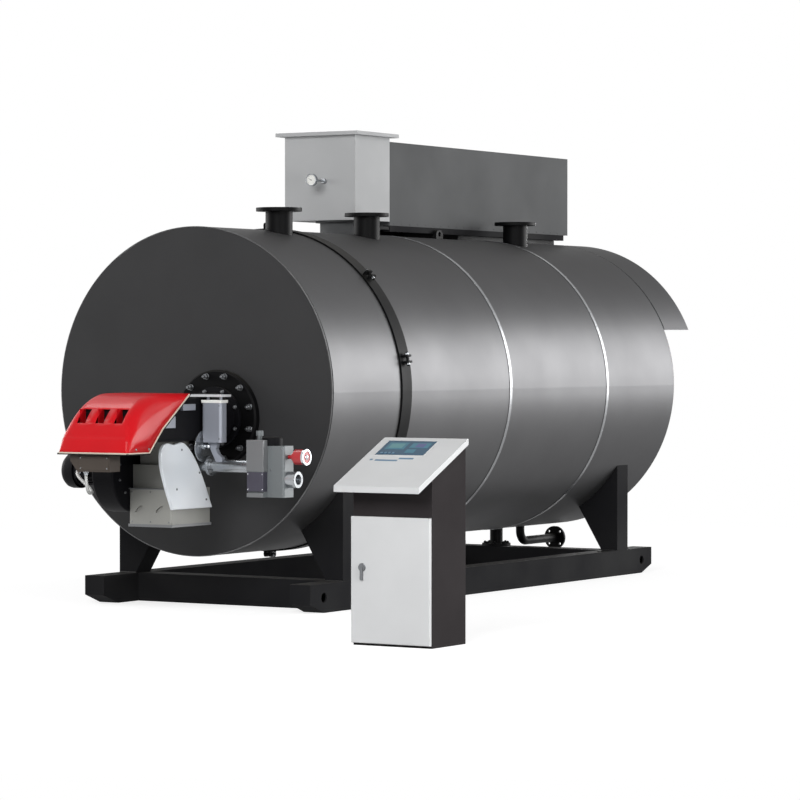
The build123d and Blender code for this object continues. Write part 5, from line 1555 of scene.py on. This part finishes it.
@dataclass
class GasTrain(Assembly):
    """Gas line with its flanges, its valve, the pressure switch and the lower port.

    Attributes:
        line: Place and height (y, z) of the gas line.
        flange_faces: Free faces of the two flanges, with the way that each looks.
        bolt_radius: Bolt circle of the flanges.
        nut: Width across flats and height of their nuts.
        caps: Caps over the coil and under it.
        coil: Body of the coil.
        coil_screws: Columns, front and rows of the coil's screws.
        coil_screw: Radius and height of their heads.
        switch: End and height (x, z) of the pressure switch.
        port: End and height (x, z) of the lower port.
        valve_screws: Columns, front and rows of the valve's screws.
        valve_screw: Radius and height of their heads.
    """

    line: Pair = (-850.0, 891.0)
    flange_faces: tuple[tuple[float, Point], ...] = ((411.0, RIGHT), (700.0, LEFT))
    bolt_radius: float = 46.0
    nut: Pair = (17.0, 10.0)
    caps: tuple[Block, ...] = (((718, -953, 866), (838, -905, 1050)), ((720, -953, 716), (832, -945, 742)))
    coil: tuple[Block, ...] = (((721, -951, 750), (835, -905, 864)),)
    coil_screws: Grid = ((728.0, 828.0), (-951.0,), (762.0, 852.0))
    coil_screw: Pair = (4.0, 2.5)
    switch: Pair = (1058.0, 952.0)
    port: Pair = (1008.0, 820.0)
    valve_screws: Grid = ((860.0, 935.0), (-905.0,), (735.0, 875.0, 1000.0))
    valve_screw: Pair = (5.0, 3.0)

    def dress(self) -> None:
        """Build the details of the gas train."""
        y, z = self.line
        bolts = [place for x, way in self.flange_faces
                 for place in ring_of(4, self.bolt_radius, facing((x, y, z), way), 45)]
        self.fasten("gas_flange_bolts", bolts, self.nut)
        self.blocks("coil_caps", COIL_LIGHT, self.caps, 3.0)
        self.blocks("coil_body", COIL_GREY, self.coil, 2.0)
        places = places_at(product(*self.coil_screws), FORWARD)
        self.fasten("coil_screws", places, self.coil_screw, Head.ROUND, LOCK_CHROME)
        self.ends()
        places = places_at(product(*self.valve_screws), FORWARD)
        self.fasten("valve_screws", places, self.valve_screw, Head.ROUND)

    def ends(self) -> None:
        """Put a ring with a chrome dome on the pressure switch, and a ring round the lower port."""
        x, z = self.switch
        cap = Draft()
        cap.washer(facing((x, self.line[0], z), RIGHT), 36, 46.5, 16, 40)
        cap.lathe([(16, 0), (15, 5), (10, 9), (0, 10)], facing((x + 10, self.line[0], z), RIGHT), 28)
        self.keep(cap.finish("switch_ring", LOCK_CHROME))
        x, z = self.port
        port = Draft()
        port.washer(facing((x, self.line[0], z), RIGHT), 31, 48, 6, 40)
        self.keep(port.finish("port_ring", PLATED_STEEL))


@dataclass
class Actuator(Assembly):
    """Actuator of the air damper with its cam, beside the casing's lugs.

    Attributes:
        low: Lowest corner of the housing.
        high: Highest corner of the housing.
        screw: Radius and height of the head of its screws.
        cam: Centre of the cam's hub on the outer face of its disc.
        hub: Outline of the cam's hub.
        casing_side: Right side of the burner's casing.
        lugs: Front, rear, lower and upper edge of the cast lugs on that side, which stay unpainted.
        lug_reach: How far the lugs' skins stand out of the side.
    """

    low: Point = (380.0, -920.0, 1030.0)
    high: Point = (517.0, -850.0, 1280.0)
    screw: Pair = (5.0, 3.0)
    cam: Point = (379.0, -888.0, 1006.0)
    hub: tuple[Pair, ...] = ((18, 0), (18, 8), (10, 10), (10, 22), (13, 26), (13, 34), (9, 40), (0, 42))
    casing_side: float = 365.0
    lugs: tuple[Edges, ...] = ((-1310.0, -1193.0, 1121.0, 1186.0), (-1116.0, -990.0, 1221.0, 1256.0))
    lug_reach: float = 21.0

    def dress(self) -> None:
        """Build the lid band, the screws, the cam's hub and the skins of the casing's lugs."""
        x0, y0, foot = self.low
        x1, y1, top = self.high
        band = ((x0 - 2, y0 - 2, top - 18), (x1 + 2, y1 + 2, top))
        self.blocks("actuator_lid_band", DIAL_WHITE, [band], 2.0)
        corners = product((x0 + 12, x1 - 12), [y0], (foot + 22, top - 34))
        self.fasten("actuator_screws", places_at(corners, FORWARD), self.screw, Head.ROUND)
        hub = Draft()
        hub.lathe(self.hub, facing(self.cam, RIGHT), 28)
        self.keep(hub.finish("cam_hub", LOCK_CHROME))
        side = self.casing_side
        skins = [((side, y0 - 1, z0 - 1), (side + self.lug_reach, y1 + 1, z1 + 1))
                 for y0, y1, z0, z1 in self.lugs]
        self.blocks("casing_lug_skins", ACTUATOR_GREY, skins, 2.0)


@dataclass
class Cabinet(Assembly):
    """Control cabinet with its sloping desk, its panel and its door.

    Attributes:
        desk_front: Front top edge of the desk as (y, z).
        desk_left: Left side of the desk.
        slope: Slope of the desk, in degrees.
        screen: Panel's left, right, lower and upper edge, measured over the desk.
        rim: Width of the panel's frame.
        keys: Number and pitch of the panel's keys.
        mark_bars: Printed bars under the panel, as left, right, lower and upper edge over the desk.
        hinge: Axis of the door as (x, y).
        hinge_zs: Middle heights of its barrels.
        barrel: Outline of a barrel.
        lock: Centre of the lock's ring.
    """

    desk_front: Pair = (-2155.0, 858.0)
    desk_left: float = 2089.0
    slope: float = 25.2
    screen: Edges = (53.0, 358.0, 361.0, 531.0)
    rim: float = 7.0
    keys: tuple[int, float] = (4, 24.0)
    mark_bars: tuple[Edges, ...] = ((54.0, 70.0, 300.0, 316.0), (88.0, 228.0, 294.0, 310.0),
                                    (226.0, 316.0, 318.0, 334.0))
    hinge: Pair = (2590.0, -2006.0)
    hinge_zs: tuple[float, ...] = (110.0, 352.0, 594.0)
    barrel: tuple[Pair, ...] = ((0, -32), (5.5, -32), (5.5, -11), (4.6, -10), (5.5, -9), (5.5, 12), (4.6, 13),
                                (5.5, 14), (5.5, 32), (0, 32))
    lock: Point = (2178.0, -2014.0, 418.0)

    # Fields of the panel: name, finish, left, right, lower and upper edge in shares of the glass, and height
    FIELDS = (("panel_display", SCREEN_FIELD, 0.07, 0.47, 0.40, 0.88, 2.0),
              ("panel_display_glow", SCREEN_GLOW, 0.13, 0.41, 0.50, 0.80, 2.4),
              ("panel_status_field", SCREEN_FIELD, 0.55, 0.93, 0.52, 0.86, 2.0),
              ("panel_status_glow", SCREEN_VIOLET, 0.66, 0.84, 0.56, 0.82, 2.4),
              ("panel_lower_field", SCREEN_FIELD, 0.55, 0.74, 0.18, 0.42, 2.0))

    def dress(self) -> None:
        """Build the panel, the desk's bars, the door's hinge barrels and the ring of its lock."""
        place = self.desk_place()
        self.panel(place)
        bars = [((x0, low, 0.0), (x1, high, 0.6)) for x0, x1, low, high in self.mark_bars]
        self.blocks("desk_marks", MARK_BLUE, bars, place=place)
        barrels = Draft()
        for z in self.hinge_zs:
            barrels.lathe(self.barrel, facing((*self.hinge, z), UP), 18)
        self.keep(barrels.finish("door_hinge_barrels", CABINET_LIGHT, Body.DOOR))
        ring = Draft()
        ring.torus(facing(self.lock, FORWARD), 21, 2.4, 36, 8)
        self.keep(ring.finish("lock_ring", PLATED_STEEL, Body.DOOR))

    def desk_place(self) -> Matrix:
        """Find the place at the desk's front left corner.

        Returns:
            The place, with x along the desk's edge and y up its slope.
        """
        angle = math.radians(self.slope)
        up = Vector((0, math.cos(angle), math.sin(angle)))
        out = Vector((0, -math.sin(angle), math.cos(angle)))
        turn = Matrix(((1, up.x, out.x), (0, up.y, out.y), (0, up.z, out.z))).to_4x4()
        return Matrix.Translation((self.desk_left, *self.desk_front)) @ turn

    def panel(self, place: Matrix) -> None:
        """Frame the panel's glass and lay its paler fields and its keys on it.

        Args:
            place: Place of the desk that the panel is measured in.
        """
        left, right, low, high = self.screen
        rim = self.rim
        frame = (((left - rim, low - rim, -1), (right + rim, low, 3)),
                 ((left - rim, high, -1), (right + rim, high + rim, 3)),
                 ((left - rim, low, -1), (left, high, 3)), ((right, low, -1), (right + rim, high, 3)))
        self.blocks("panel_frame", CABINET_LIGHT, frame, 0.8, place)
        width, height = right - left, high - low
        for name, finish, x0, x1, y0, y1, rise in self.FIELDS:
            self.blocks(name, finish, [((left + x0 * width, low + y0 * height, 1.4),
                                        (left + x1 * width, low + y1 * height, rise))], 0.4, place)
        count, pitch = self.keys
        xs = [left + pitch + index * pitch for index in range(count)]
        keys = [((x, low + 18, 1.4), (x + 15, low + 33, 3.4)) for x in xs]
        self.blocks("panel_keys", MARK_BLUE, keys, 0.8, place)


def dress_nodes(nodes: dict[str, bpy.types.Object]) -> None:
    """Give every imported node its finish, by its own name or by the material slot that it came with.

    Args:
        nodes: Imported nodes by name.
    """
    for name, node in nodes.items():
        slot = node.data.materials[0].name.split(".")[0]
        finish = NODE_FINISHES.get(node.name, CAD_FINISHES[slot])
        node.data.materials.clear()
        node.data.materials.append(finish.material())
        LOG.info("node %s: %s", name, finish.name)


def main() -> None:
    """Load the frame, build the studio and dress the plant piece by piece."""
    logging.basicConfig(level=logging.INFO, format="%(message)s")
    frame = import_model()
    Studio().build()
    dress_nodes(frame["nodes"])
    for assembly in (Drum(), Skids(), Economiser(), BurnerDoor(), Hood(), FanEnd(), AirIntake(), GasTrain(),
                     Actuator(), Cabinet()):
        assembly.dress()
        assembly.report()
    bpy.context.scene.view_settings.view_transform = "Standard"


if __name__ == "__main__":
    main()
